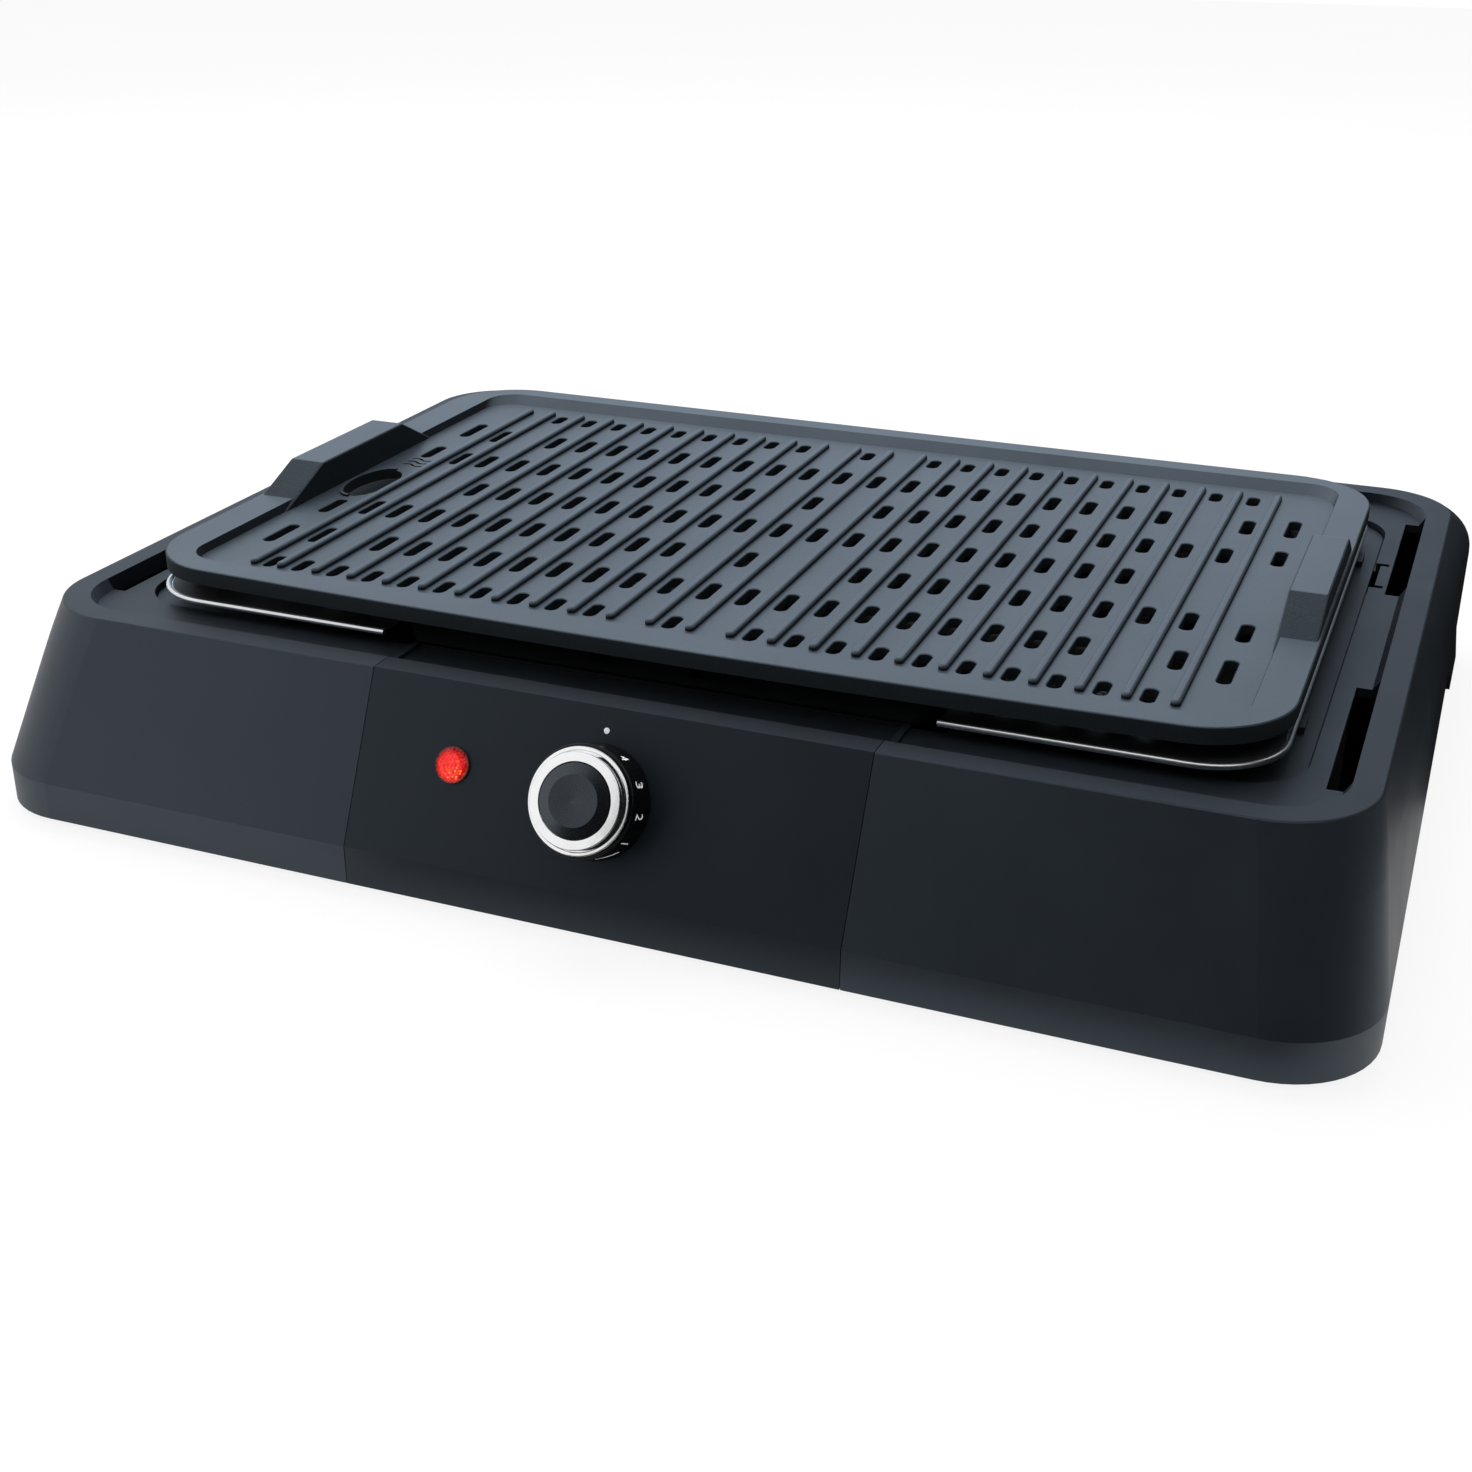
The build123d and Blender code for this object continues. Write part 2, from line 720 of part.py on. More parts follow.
def drip_tray():
    """Sheet-metal tray: rolled lip, flange, well with sloped walls and a gate for the heater unit."""
    edge = outline(tray_half_x - lip_d / 2, tray_front - lip_d / 2, tray_rear - lip_d / 2,
                   tray_corner_r - lip_d / 2, tray_corner_r - lip_d / 2)
    mouth = outline(well_half_x, well_half_y, well_half_y, well_corner_r, well_corner_r)
    mouth_in = outline(well_half_x - sheet, well_half_y - sheet, well_half_y - sheet,
                       well_corner_r - sheet, well_corner_r - sheet)
    floor_out = outline(well_floor_half_x, well_floor_half_y, well_floor_half_y,
                        well_floor_corner_r, well_floor_corner_r)
    floor_in = outline(well_floor_half_x - sheet, well_floor_half_y - sheet, well_floor_half_y - sheet,
                       well_floor_corner_r - sheet, well_floor_corner_r - sheet)
    outside = loft([Pos(0, 0, well_floor_z) * floor_out, Pos(0, 0, tray_flange_z) * mouth], ruled=True)
    floor_in = Pos(0, 0, well_floor_z + sheet) * floor_in
    inside = loft([floor_in, Pos(0, 0, tray_flange_z) * mouth_in], ruled=True)
    path = Pos(0, 0, lip_z) * edge.wire()
    start = path @ 0
    bead = sweep(Plane(origin=start, z_dir=path % 0) * Circle(lip_d / 2), path=path)
    tray = slab(edge, tray_bottom_z, tray_flange_z) + outside - inside + bead
    gate = box(-tray_gate_half_x, tray_gate_half_x, -tray_front - wall, -well_floor_half_y, tray_gate_z,
               tray_flange_z + lip_d)
    return tray - gate


def panel_profile():
    """Section of the control panel: sloped face, stretch of rim and deck."""
    top_in = rim_top_z - wall
    slope_in = rim_half_y + front_run * wall - wall_run
    points = [(-bottom_front, 0), (-crease_front, crease_z), (-rim_half_y, rim_top_z),
              (-rim_inner_half_y, rim_top_z), (-rim_inner_half_y, deck_z), (panel_rear_y, deck_z),
              (panel_rear_y, panel_deck_bottom_z), (-rim_inner_half_y - wall, panel_deck_bottom_z),
              (-rim_inner_half_y - wall, top_in), (-slope_in, top_in),
              (-crease_front + wall_run, crease_z), (-bottom_front + wall, 0)]
    return make_face(Polyline(*[(0, y, z) for y, z in points], close=True))


def panel_sides():
    """End walls of the control box with their screw blocks."""
    sides = []
    half_wall = wall_run / 2
    points = [(-bottom_front + wall / 2, box_bottom_z), (-crease_front + half_wall, crease_z),
              (-rim_half_y - front_run * wall + half_wall, rim_top_z - wall),
              (-rim_inner_half_y - wall / 2, rim_top_z - wall),
              (-rim_inner_half_y, panel_deck_bottom_z + contact_gap),
              (cover_rear_y - contact_gap, panel_deck_bottom_z + contact_gap),
              (cover_rear_y - contact_gap, box_bottom_z)]
    face = make_face(Polyline(*[(0, y, z) for y, z in points], close=True))
    blank = extrude(face, amount=panel_side_wall, dir=(1, 0, 0))
    for x in (-half_panel, half_panel - panel_side_wall):
        sides.append(Pos(x, 0, 0) * blank)
    inner = half_panel - panel_side_wall
    for side in (-1, 1):
        near = side * (inner + panel_side_wall / 2)
        far = side * (inner - cover_boss)
        for z in cover_screw_heights:
            sides.append(box(min(near, far), max(near, far), cover_rear_y - contact_gap - cover_boss_length,
                             cover_rear_y - contact_gap, z - cover_boss / 2, z + cover_boss / 2))
    return sides


def cover_screw_places():
    """Seats of the cover screws, pointing to the front."""
    x = half_panel - panel_side_wall - cover_boss / 2
    return [Plane(origin=(side * x, panel_rear_y, z), x_dir=(1, 0, 0), z_dir=(0, 1, 0)).location
            for side in (-1, 1) for z in cover_screw_heights]


def bridge_screw_places():
    """Seats of the bridge screws under the panel's deck."""
    seat = Pos(0, bridge_front_y + bridge_screw_run, panel_deck_bottom_z) * Rot(180, 0, 0)
    return [Pos(side * (seam_half_x - bridge_screw_inset), 0, 0) * seat for side in (-1, 1)]


def pilot(size, length):
    """Hole for a screw, in the screw's own frame."""
    return disc(size[2] + 2 * screw_gap, -length - screw_gap, lift_gap)


def control_panel():
    """Front of the control unit in one moulding."""
    shape = Pos(-half_panel, 0, 0) * extrude(panel_profile(), amount=2 * half_panel, dir=(1, 0, 0))
    for side in panel_sides():
        shape = shape + side
    hole_half = bridge_pocket_half_x - lead_hole_margin
    hole_rear = bridge_pocket_front_y + lead_hole_depth
    hole_low = panel_deck_bottom_z - wall
    cuts = [box(-hole_half, hole_half, bridge_pocket_front_y, hole_rear, hole_low, deck_z + wall)]
    cuts += [loc * pilot(cover_screw, cover_screw[3]) for loc in cover_screw_places()]
    cuts += [loc * pilot(small_screw, small_screw[3]) for loc in bridge_screw_places()]
    knob_place = slope_plane(0, knob_down)
    cuts.append(knob_place * disc(panel_hole_d, -2 * wall, wall))
    for side in (-1, 1):
        cuts.append(knob_place * Pos(side * thermostat_screw_x, 0, 0) * pilot(small_screw, small_screw[3]))
    cuts.append(slope_plane(lamp_x, lamp_down) * disc(lens_stem_d + 2 * contact_gap, -2 * wall, wall))
    return shape - cuts


def control_cover():
    """Rear and bottom cover of the control box."""
    bottom = box(-cover_half_x, cover_half_x, -crease_front + wall_run + wall, panel_rear_y, box_bottom_z,
                 box_bottom_z + cover_thickness)
    rear = box(-cover_half_x, cover_half_x, cover_rear_y, panel_rear_y, box_bottom_z,
               panel_deck_bottom_z - contact_gap)
    cuts = [loc * pilot(cover_screw, cover_screw[3]) for loc in cover_screw_places()]
    hole = Plane(origin=(gland_x, panel_rear_y, gland_z), x_dir=(1, 0, 0), z_dir=(0, 1, 0))
    cuts.append(hole * disc(gland_d + 2 * contact_gap, -2 * wall, wall))
    return bottom + rear - cuts


def bridge_cover():
    """Black block that carries the element legs over the front edge of the tray."""
    wing_y = bridge_front_y + bridge_wing_run
    plan = Polyline((-bridge_wing_half_x, bridge_rear_y), (-bridge_wing_half_x, wing_y),
                    (-half_panel, bridge_front_y), (half_panel, bridge_front_y),
                    (bridge_wing_half_x, wing_y), (bridge_wing_half_x, bridge_rear_y), close=True)
    face = make_face(plan)
    face = fillet(face.vertices().sort_by(Axis.Y)[:4], bridge_wing_r)
    block = slab(face, deck_z, bridge_top_z)
    lip_top = deck_z + bridge_lip
    lip_back = bridge_front_y + bridge_lip_width
    front = make_face(Polyline((0, bridge_front_y - wall, lip_top), (0, lip_back, lip_top),
                               (0, bridge_front_y + bridge_slope_run, bridge_top_z + lift_gap),
                               (0, bridge_front_y - wall, bridge_top_z + lift_gap), close=True))
    reach = bridge_wing_half_x + wall
    block = block - Pos(-reach, 0, 0) * extrude(front, amount=2 * reach, dir=(1, 0, 0))
    cuts = [box(-bridge_pocket_half_x, bridge_pocket_half_x, bridge_pocket_front_y, bridge_pocket_rear_y,
                deck_z - wall, bridge_top_z - bridge_roof)]
    for side in (-1, 1):
        inner = side * notch_inner_x
        outer = side * notch_outer_x
        notch_rear = bridge_front_y + notch_run
        cuts.append(box(min(inner, outer), max(inner, outer), bridge_front_y - wall, notch_rear,
                        deck_z + notch_floor, bridge_top_z + wall))
        leg = Plane(origin=(side * leg_x, bridge_rear_y, leg_z), x_dir=(1, 0, 0), z_dir=(0, 1, 0))
        cuts.append(leg * disc(tube_d + 2 * contact_gap, -2 * wall, wall))
        cuts.append(flange_screw_place(side) * pilot(small_screw, small_screw[3]))
    cuts += [loc * pilot(small_screw, small_screw[3]) for loc in bridge_screw_places()]
    return block - cuts


def flange_screw_place(side):
    """Seat of one screw of the element flange."""
    y = bridge_rear_y + contact_gap + flange_thickness
    return Plane(origin=(side * flange_screw_x, y, leg_z), x_dir=(1, 0, 0), z_dir=(0, 1, 0)).location


def element_path():
    """Centre line of the element: two legs, a drop into the well and four rows joined by bends."""
    left = [(-leg_x, leg_start_y, leg_z), (-leg_x, leg_drop_y, leg_z), (-leg_x, leg_drop_y, element_z),
            (-leg_x, element_rows[0], element_z)]
    left += [(-element_half_x, element_rows[0], element_z), (-element_half_x, element_rows[1], element_z)]
    left += [(-element_inner_x, element_rows[1], element_z), (-element_inner_x, element_rows[2], element_z)]
    left += [(-element_half_x, element_rows[2], element_z), (-element_half_x, element_rows[3], element_z)]
    right = [(-x, y, z) for x, y, z in reversed(left)]
    return left + right


def tube(points, d, radius):
    """Round bar along straight runs joined by tangent bends."""
    path = FilletPolyline(*points, radius=radius)
    return sweep(Plane(origin=path @ 0, z_dir=path % 0) * Circle(d / 2), path=path)


def heating_element():
    """Tubular heating element in one length."""
    return tube(element_path(), tube_d, drop_r)


def element_terminals():
    """Cold pins of the element, each with a ceramic bead."""
    pins = []
    for side in (-1, 1):
        seat = Plane(origin=(side * leg_x, leg_start_y, leg_z), x_dir=(1, 0, 0), z_dir=(0, -1, 0))
        pin = disc(pin_d, 0, leg_start_y - pin_front_y)
        pins.append(seat * (disc(bead_d, 0, bead_length) + pin))
    return Compound(children=pins)


def element_flange():
    """Plate that clamps both legs to the block."""
    y0 = bridge_rear_y + contact_gap
    plate = box(-flange_half_x, flange_half_x, y0, y0 + flange_thickness, leg_z - flange_height / 2,
                leg_z + flange_height / 2)
    plate = fillet(plate.edges().filter_by(Axis.Y), flange_height / 4)
    cuts = []
    for side in (-1, 1):
        leg = Plane(origin=(side * leg_x, y0, leg_z), x_dir=(1, 0, 0), z_dir=(0, 1, 0))
        cuts.append(leg * disc(tube_d + contact_gap, -wall, 2 * wall))
        cuts.append(flange_screw_place(side) * pilot(small_screw, small_screw[3]))
    return plate - cuts


def element_brackets():
    """Two straps that carry the rows of the element, hooked over the flange of the tray."""
    z1 = element_z - tube_d / 2 - contact_gap
    z0 = z1 - strap_thickness
    tab_z = tray_flange_z + strap_tab_lift
    strap = box(-strap_width / 2, strap_width / 2, -strap_half_y, strap_half_y, z0, z1)
    for side in (-1, 1):
        inner = side * strap_half_y
        riser = side * (strap_half_y - strap_thickness)
        strap = strap + box(-strap_width / 2, strap_width / 2, min(inner, riser), max(inner, riser), z0,
                            tab_z + strap_thickness)
        tab = side * strap_tab_y
        strap = strap + box(-strap_width / 2, strap_width / 2, min(riser, tab), max(riser, tab), tab_z,
                            tab_z + strap_thickness)
    for y in element_rows:
        ring = disc(tube_d + 2 * contact_gap + 2 * strap_thickness, -strap_width / 2, strap_width / 2)
        ring = ring - disc(tube_d + 2 * contact_gap, -strap_width, strap_width)
        seat = Plane(origin=(0, y, element_z), x_dir=(0, 1, 0), z_dir=(1, 0, 0))
        strap = strap + seat * ring
    return spread(strap, [Pos(-strap_x, 0, 0), Pos(strap_x, 0, 0)])


def thermostat_body():
    """Capsule of the thermostat with its fixing tab, collar and two blades."""
    seat = -wall - contact_gap
    tab = slab(SlotOverall(thermostat_tab_length, thermostat_tab_width), seat - thermostat_tab, seat)
    can = disc(thermostat_d, seat - thermostat_tab - thermostat_length, seat - thermostat_tab)
    can = fillet(can.edges().sort_by(Axis.Z)[:1], thermostat_tab)
    shape = tab + can
    rear = seat - thermostat_tab - thermostat_length
    for side in (-1, 1):
        blade = Box(blade_thickness, blade_width, blade_length)
        shape = shape + Pos(side * blade_x, 0, rear - blade_length / 2) * blade
        shape = shape - Pos(side * thermostat_screw_x, 0, 0) * pilot(small_screw, small_screw[3])
    shape = shape - disc(shaft_d + 2 * shaft_gap, -shaft_depth - contact_gap, wall)
    return slope_plane(0, knob_down) * shape


def thermostat_screws():
    """Screws through the front panel, hidden under the knob."""
    places = []
    plane = slope_plane(0, knob_down)
    for side in (-1, 1):
        places.append(plane.location * Pos(side * thermostat_screw_x, 0, 0))
    return spread(screw(small_screw), places)


def thermostat_shaft():
    """Flatted shaft that joins the knob to the thermostat."""
    shaft = disc(shaft_d, -shaft_depth, shaft_reach)
    flat = box(-shaft_d, shaft_d, shaft_d / 2 - shaft_flat, shaft_d, wall, shaft_reach + wall)
    return slope_plane(0, knob_down) * (shaft - flat)


def knob_skirt():
    """Black body of the knob with its seat for the ring and cap, and the hub inside."""
    r0 = skirt_d / 2
    r1 = skirt_top_d / 2
    seat_r = ring_outer_d / 2 + contact_gap
    roof = shaft_reach + contact_gap
    inner_r = r0 - skirt_wall
    profile = [(r0, knob_gap), (r1, skirt_height), (seat_r, skirt_height), (seat_r, ring_seat),
               (0, ring_seat)]
    profile += [(0, roof), (hub_d / 2, roof), (inner_r, roof - skirt_wall), (inner_r, knob_gap)]
    body = turned(profile)
    top_z = skirt_height + contact_gap
    top_edges = body.edges().filter_by_position(Axis.Z, skirt_height - contact_gap, top_z)
    body = fillet(top_edges.sort_by(SortBy.RADIUS)[-1:], skirt_edge_r)
    hub = disc(hub_d, wall, ring_seat)
    bore = disc(shaft_d + 2 * contact_gap, 0, roof)
    key_y = shaft_d / 2 - shaft_flat + contact_gap
    key = box(-shaft_d / 2, shaft_d / 2, key_y, shaft_d / 2 + contact_gap, wall, roof)
    return slope_plane(0, knob_down) * (body + hub - (bore - key))


def knob_ring():
    """Bright ring: a broad face and a lower outer step divided by a thin groove."""
    ro = ring_outer_d / 2
    rs = ring_step_d / 2
    ri = ring_inner_d / 2
    base = ring_seat + contact_gap
    profile = [(ri, base), (ro, base), (ro, ring_step_top), (rs + ring_groove, ring_step_top),
               (rs + ring_groove, ring_step_top - ring_groove), (rs, ring_step_top - ring_groove),
               (rs, ring_top), (ri, ring_top)]
    ring = turned(profile)
    edges = ring.edges().filter_by(GeomType.CIRCLE)
    ring = fillet(edges.filter_by_position(Axis.Z, ring_step_top, ring_top), ring_edge_r)
    return slope_plane(0, knob_down) * ring


def knob_cap():
    """Black cap with a bevelled edge and a shallow dish."""
    base = ring_seat + contact_gap
    profile = [(0, base), (cap_d / 2, base), (cap_d / 2, cap_shoulder), (cap_flat_d / 2, cap_top),
               (0, cap_top - cap_dish)]
    return slope_plane(0, knob_down) * turned(profile)


def pilot_lamp_lens():
    """Faceted lens with a round flange and a stem through the panel."""
    flange = disc(lens_d, contact_gap, lens_flange)
    crown = extrude(Pos(0, 0, lens_flange) * RegularPolygon(lens_crown_d / 2, lens_facets),
                    amount=lens_height - lens_flange, taper=lens_taper)
    stem = disc(lens_stem_d, -lens_stem_length, contact_gap)
    return slope_plane(lamp_x, lamp_down) * (flange + crown + stem)


def lamp_holder():
    """Holder of the pilot lamp behind the lens."""
    base = -lens_stem_length - contact_gap
    can = disc(holder_d, base - holder_length, base)
    can = fillet(can.edges().sort_by(Axis.Z)[:1], wall / 2)
    return slope_plane(lamp_x, lamp_down) * can


def lamp_clip():
    """Spring clip that holds the lens on the inside of the panel."""
    seat = -wall - contact_gap
    ring = disc(clip_outer_d, seat - clip_thickness, seat)
    ring = ring - disc(lens_stem_d + 2 * contact_gap, seat - wall, 0)
    slit = Pos(lens_stem_d / 2, 0, seat) * Box(wall, clip_thickness, wall)
    slits = [Rot(0, 0, i * 360 / clip_slits) * slit for i in range(clip_slits)]
    return slope_plane(lamp_x, lamp_down) * (ring - slits)


def terminal_block():
    """Three-pole block on the bottom of the control box."""
    z0 = box_bottom_z + cover_thickness
    z1 = z0 + block_height
    body = box(block_x - block_length / 2, block_x + block_length / 2, block_y - block_width / 2,
               block_y + block_width / 2, z0, z1)
    for side in (-1, 1):
        near = block_y + side * block_width / 2
        far = block_y + side * (block_width / 2 - block_step)
        body = body - box(block_x - block_length, block_x + block_length, min(near, far), max(near, far),
                          z1 - block_step, z1 + wall)
    for i in (-1, 0, 1):
        well = disc(block_screw_d, z1 - block_step, z1 + wall)
        body = body - Pos(block_x + i * block_pole_pitch, block_y, 0) * well
    return body


def cord_gland():
    """Bush in the rear of the control box that the mains cord passes through."""
    seat = Plane(origin=(gland_x, panel_rear_y, gland_z), x_dir=(1, 0, 0), z_dir=(0, 1, 0))
    sleeve = disc(gland_d, -cover_thickness - gland_flange, gland_reach)
    outer = disc(gland_flange_d, contact_gap, gland_flange)
    inside = -cover_thickness - contact_gap
    sleeve = sleeve + outer + disc(gland_flange_d - wall, inside - gland_flange, inside)
    tip = sleeve.edges().sort_by(Axis.Z)[-1:]
    sleeve = chamfer(tip, gland_chamfer)
    return seat * (sleeve - disc(gland_bore_d, -wall * 3, gland_reach + wall))


def thermal_fuse():
    """One-shot fuse beside the element terminals."""
    seat = Plane(origin=(fuse_x, fuse_y, leg_z), x_dir=(0, 1, 0), z_dir=(1, 0, 0))
    body = disc(fuse_d, -fuse_length / 2, fuse_length / 2)
    return seat * fillet(body.edges(), fuse_edge_r)


def internal_leads():
    """Leads between terminal block, thermostat, lamp, fuse and element."""
    knob_place = slope_plane(0, knob_down)
    lamp_place = slope_plane(lamp_x, lamp_down)
    blade_end = -wall - 2 * contact_gap - thermostat_tab - thermostat_length - blade_length
    holder_end = -lens_stem_length - 2 * contact_gap - holder_length
    right_blade = knob_place.from_local_coords((blade_x, 0, blade_end))
    right_turn = knob_place.from_local_coords((blade_x, 0, blade_end - lead_stub))
    left_blade = knob_place.from_local_coords((-blade_x, 0, blade_end))
    left_turn = knob_place.from_local_coords((-blade_x, 0, blade_end - lead_stub))
    lamp_right = lamp_place.from_local_coords((lamp_lead_x, 0, holder_end))
    lamp_right_turn = lamp_place.from_local_coords((lamp_lead_x, 0, holder_end - lead_stub))
    lamp_left = lamp_place.from_local_coords((-lamp_lead_x, 0, holder_end))
    lamp_left_turn = lamp_place.from_local_coords((-lamp_lead_x, 0, holder_end - lead_stub))
    lead_cross_z = deck_z - lead_cross_drop
    lead_floor_z = box_bottom_z + cover_thickness + lead_floor_rise
    block_top = box_bottom_z + cover_thickness + block_height
    pole_z = block_top - block_step + contact_gap + lead_d / 2
    rear_pole_y = block_y + block_width / 2 - block_step + contact_gap
    front_pole_y = block_y - block_width / 2 + block_step - contact_gap
    run_y = rear_pole_y + lead_run
    front_run_y = front_pole_y - lead_run
    rise_y = (pin_front_y + leg_start_y - bead_length) / 2
    pin_side_x = leg_x + pin_d / 2 + contact_gap
    pin_under_z = leg_z - pin_d / 2 - contact_gap
    fuse_in_x = fuse_x - fuse_length / 2 - contact_gap
    fuse_out_x = fuse_x + fuse_length / 2 + contact_gap
    fuse_turn_x = (pin_side_x + fuse_in_x) / 2
    poles = [block_x + i * block_pole_pitch for i in (-1, 0, 1)]
    routes = [
        [right_blade, right_turn, (blade_x, run_y, pole_z), (poles[0], run_y, pole_z),
         (poles[0], rear_pole_y, pole_z)],
        [left_blade, left_turn, (-blade_x, rise_y, left_turn.Z), (-blade_x, rise_y, lead_cross_z),
         (-leg_x, rise_y, lead_cross_z), (-leg_x, rise_y, pin_under_z)],
        [(pin_side_x, rise_y, leg_z), (fuse_turn_x, rise_y, leg_z), (fuse_turn_x, fuse_y, leg_z),
         (fuse_in_x, fuse_y, leg_z)],
        [(fuse_out_x, fuse_y, leg_z), (poles[2], fuse_y, leg_z), (poles[2], rise_y, leg_z),
         (poles[2], rise_y, pole_z), (poles[2], rear_pole_y, pole_z)],
        [lamp_right, lamp_right_turn, (lamp_right.X, front_run_y, lead_floor_z),
         (poles[1], front_run_y, lead_floor_z), (poles[1], front_run_y, pole_z),
         (poles[1], front_pole_y, pole_z)],
        [lamp_left, lamp_left_turn, (lamp_left.X, rise_y, lamp_left_turn.Z),
         (lamp_left.X, rise_y, lead_cross_z), (-lamp_rise_x, rise_y, lead_cross_z),
         (-lamp_rise_x, rise_y, leg_z), (-pin_side_x, rise_y, leg_z)],
    ]
    return Compound(children=[tube(route, lead_d, lead_bend_r) for route in routes])


def cover_screws():
    """Screws of the control cover."""
    return spread(screw(cover_screw), cover_screw_places())


def bridge_screws():
    """Screws that hold the bridge block on the panel."""
    return spread(screw(small_screw), bridge_screw_places())


def flange_screws():
    """Screws of the element flange."""
    return spread(screw(small_screw), [flange_screw_place(side) for side in (-1, 1)])


def plate_outline():
    """Outer outline of the grill plate, its front edge slightly bowed."""
    sides = Polyline((-plate_half_x, -plate_front), (-plate_half_x, plate_rear), (plate_half_x, plate_rear),
                     (plate_half_x, -plate_front))
    bow = ThreePointArc((-plate_half_x, -plate_front), (0, -plate_front - plate_front_bow),
                        (plate_half_x, -plate_front))
    face = make_face(sides.edges() + bow.edges())
    return Pos(plate_shift, 0, 0) * fillet(face.vertices(), plate_corner_r)


def plate_blank():
    """Edge band and shallow tub of the plate, with the cooking floor sunk inside its rim."""
    band = slab(plate_outline(), plate_top_z - plate_edge, plate_top_z)
    rim = band.edges().filter_by_position(Axis.Z, plate_top_z - contact_gap, plate_top_z + contact_gap)
    band = fillet(rim, plate_edge_r)
    tub = outline(pocket_half_x + plate_wall, pocket_front + plate_wall, pocket_rear + plate_wall,
                  pocket_corner_r + plate_wall, pocket_corner_r + plate_wall)
    floor = outline(pocket_half_x - pocket_side_draft, pocket_front - pocket_side_draft,
                    pocket_rear - pocket_rear_draft, pocket_corner_r, pocket_corner_r)
    mouth = outline(pocket_half_x, pocket_front, pocket_rear, pocket_corner_r, pocket_corner_r)
    pocket = loft([Pos(0, 0, plate_floor_z) * floor, Pos(0, 0, plate_top_z) * mouth], ruled=True)
    blank = band + slab(tub, plate_bottom_z, plate_top_z - plate_edge / 2)
    return blank - pocket - slab(mouth, plate_top_z, plate_top_z + wall)


def plate_ribs():
    """Rounded ribs on the cooking floor."""
    face = SlotOverall(rib_rear - rib_front, rib_width, rotation=90)
    rib = slab(face, plate_floor_z - rib_height / 2, plate_floor_z + rib_height)
    top_edges = rib.edges().filter_by_position(Axis.Z, plate_floor_z + rib_height / 2, plate_top_z)
    rib = fillet(top_edges, rib_round)
    mid_y = (rib_front + rib_rear) / 2
    first = rib_centre_x + rib_shift - rib_pitch * (rib_count - 1) / 2
    places = [first + rib_pitch * i for i in range(1, rib_count - 1)]
    places += [rib_end_left - pocket_half_x, pocket_half_x - rib_end_right]
    return [Pos(x, mid_y, 0) * rib for x in places]


def plate_grip(side):
    """Cast grip over one end of the rim and its inner wall, with a ramp at each end."""
    root_z = plate_floor_z - plate_thickness / 2
    run = (plate_top_z - root_z) / (grip_top_z - plate_top_z)
    front = grip_base_front + run * (grip_base_front - grip_top_front)
    rear = grip_base_rear + run * (grip_base_rear - grip_top_rear)
    inner = side * (pocket_half_x - grip_lap)
    outer = plate_shift + side * (plate_half_x - grip_edge)
    face = make_face(Polyline((0, front, root_z), (0, grip_top_front, grip_top_z),
                              (0, grip_top_rear, grip_top_z), (0, rear, root_z), close=True))
    grip = Pos(min(inner, outer), 0, 0) * extrude(face, amount=abs(outer - inner), dir=(1, 0, 0))
    grip = fillet(grip.edges().filter_by(Axis.X).group_by(Axis.Z)[-1], grip_knee)
    long_edges = grip.edges().filter_by(Axis.X, reverse=True)
    return fillet(long_edges.filter_by_position(Axis.Z, plate_top_z, grip_top_z + wall), grip_round)


def plate_foot(side, y0, y1):
    """Foot under one corner of the plate, standing on the flange of the tray."""
    top_z = plate_floor_z - contact_gap
    low_z = tray_flange_z + lift_gap
    top = Rectangle(plate_foot_width, y1 - y0)
    low = Rectangle(plate_foot_width - plate_foot_draft, y1 - y0 - plate_foot_draft)
    foot = loft([Pos(0, 0, low_z) * low, Pos(0, 0, top_z) * top])
    return Pos(plate_shift + side * plate_foot_x, (y0 + y1) / 2, 0) * foot


def slot_cutter(length):
    """Through slot with a chamfered mouth, centred on the cooking floor."""
    through = slab(SlotOverall(length, slot_width, rotation=90), plate_bottom_z - wall, plate_floor_z + wall)
    wide = SlotOverall(length + 2 * slot_chamfer, slot_width + 2 * slot_chamfer, rotation=90)
    narrow = SlotOverall(length, slot_width, rotation=90)
    narrow = Pos(0, 0, plate_floor_z - slot_chamfer) * narrow
    mouth = loft([narrow, Pos(0, 0, plate_floor_z) * wide], ruled=True)
    return through + mouth


def slot_rows():
    """Rows of drain slots: depth, length, columns left out, end slots or not, and side of the middle."""
    last = last_column
    ends = (-last, 1 - last, last - 1, last)
    rows = [(rear_row_y, rear_row_length, (-last, -1, 1), False, 0),
            (middle_row_y, slot_length, ends, False, 0),
            (front_row_y, front_row_length, (-1, 1), False, 0)]
    for i in range(1, inner_rows + 1):
        for side in (-1, 1):
            y = middle_row_y + side * i * slot_row_pitch
            if i % 2 == 0:
                rows.append((y, slot_length, ends, True, side))
            elif side > 0:
                rows.append((y, slot_length, (-1, 1), False, side))
            else:
                rows.append((y, slot_length, (-1, 1, 2), False, side))
    return rows


def slot_cuts():
    """All drain slots of the cooking floor, with the end and outer slots that stand off the columns."""
    cuts = []
    left_end = end_slot_left - pocket_half_x
    for y, length, skipped, has_ends, side in slot_rows():
        cutter = slot_cutter(length)
        kept = [k for k in range(1 - last_column, last_column + 1) if k not in skipped]
        columns = [rib_centre_x + k * rib_pitch for k in kept]
        if has_ends or -last_column not in skipped:
            columns.append(left_end)
        if has_ends:
            columns.append(pocket_half_x - end_slot_right)
        cuts += [Pos(x, y, 0) * cutter for x in columns]
        if side:
            outer = slot_cutter(outer_slot_length if has_ends else slot_length)
            outer_y = y + side * outer_slot_spread
            cuts.append(Pos(outer_slot_left - pocket_half_x, outer_y, 0) * outer)
            cuts.append(Pos(pocket_half_x - outer_slot_right, outer_y, 0) * outer)
    return cuts


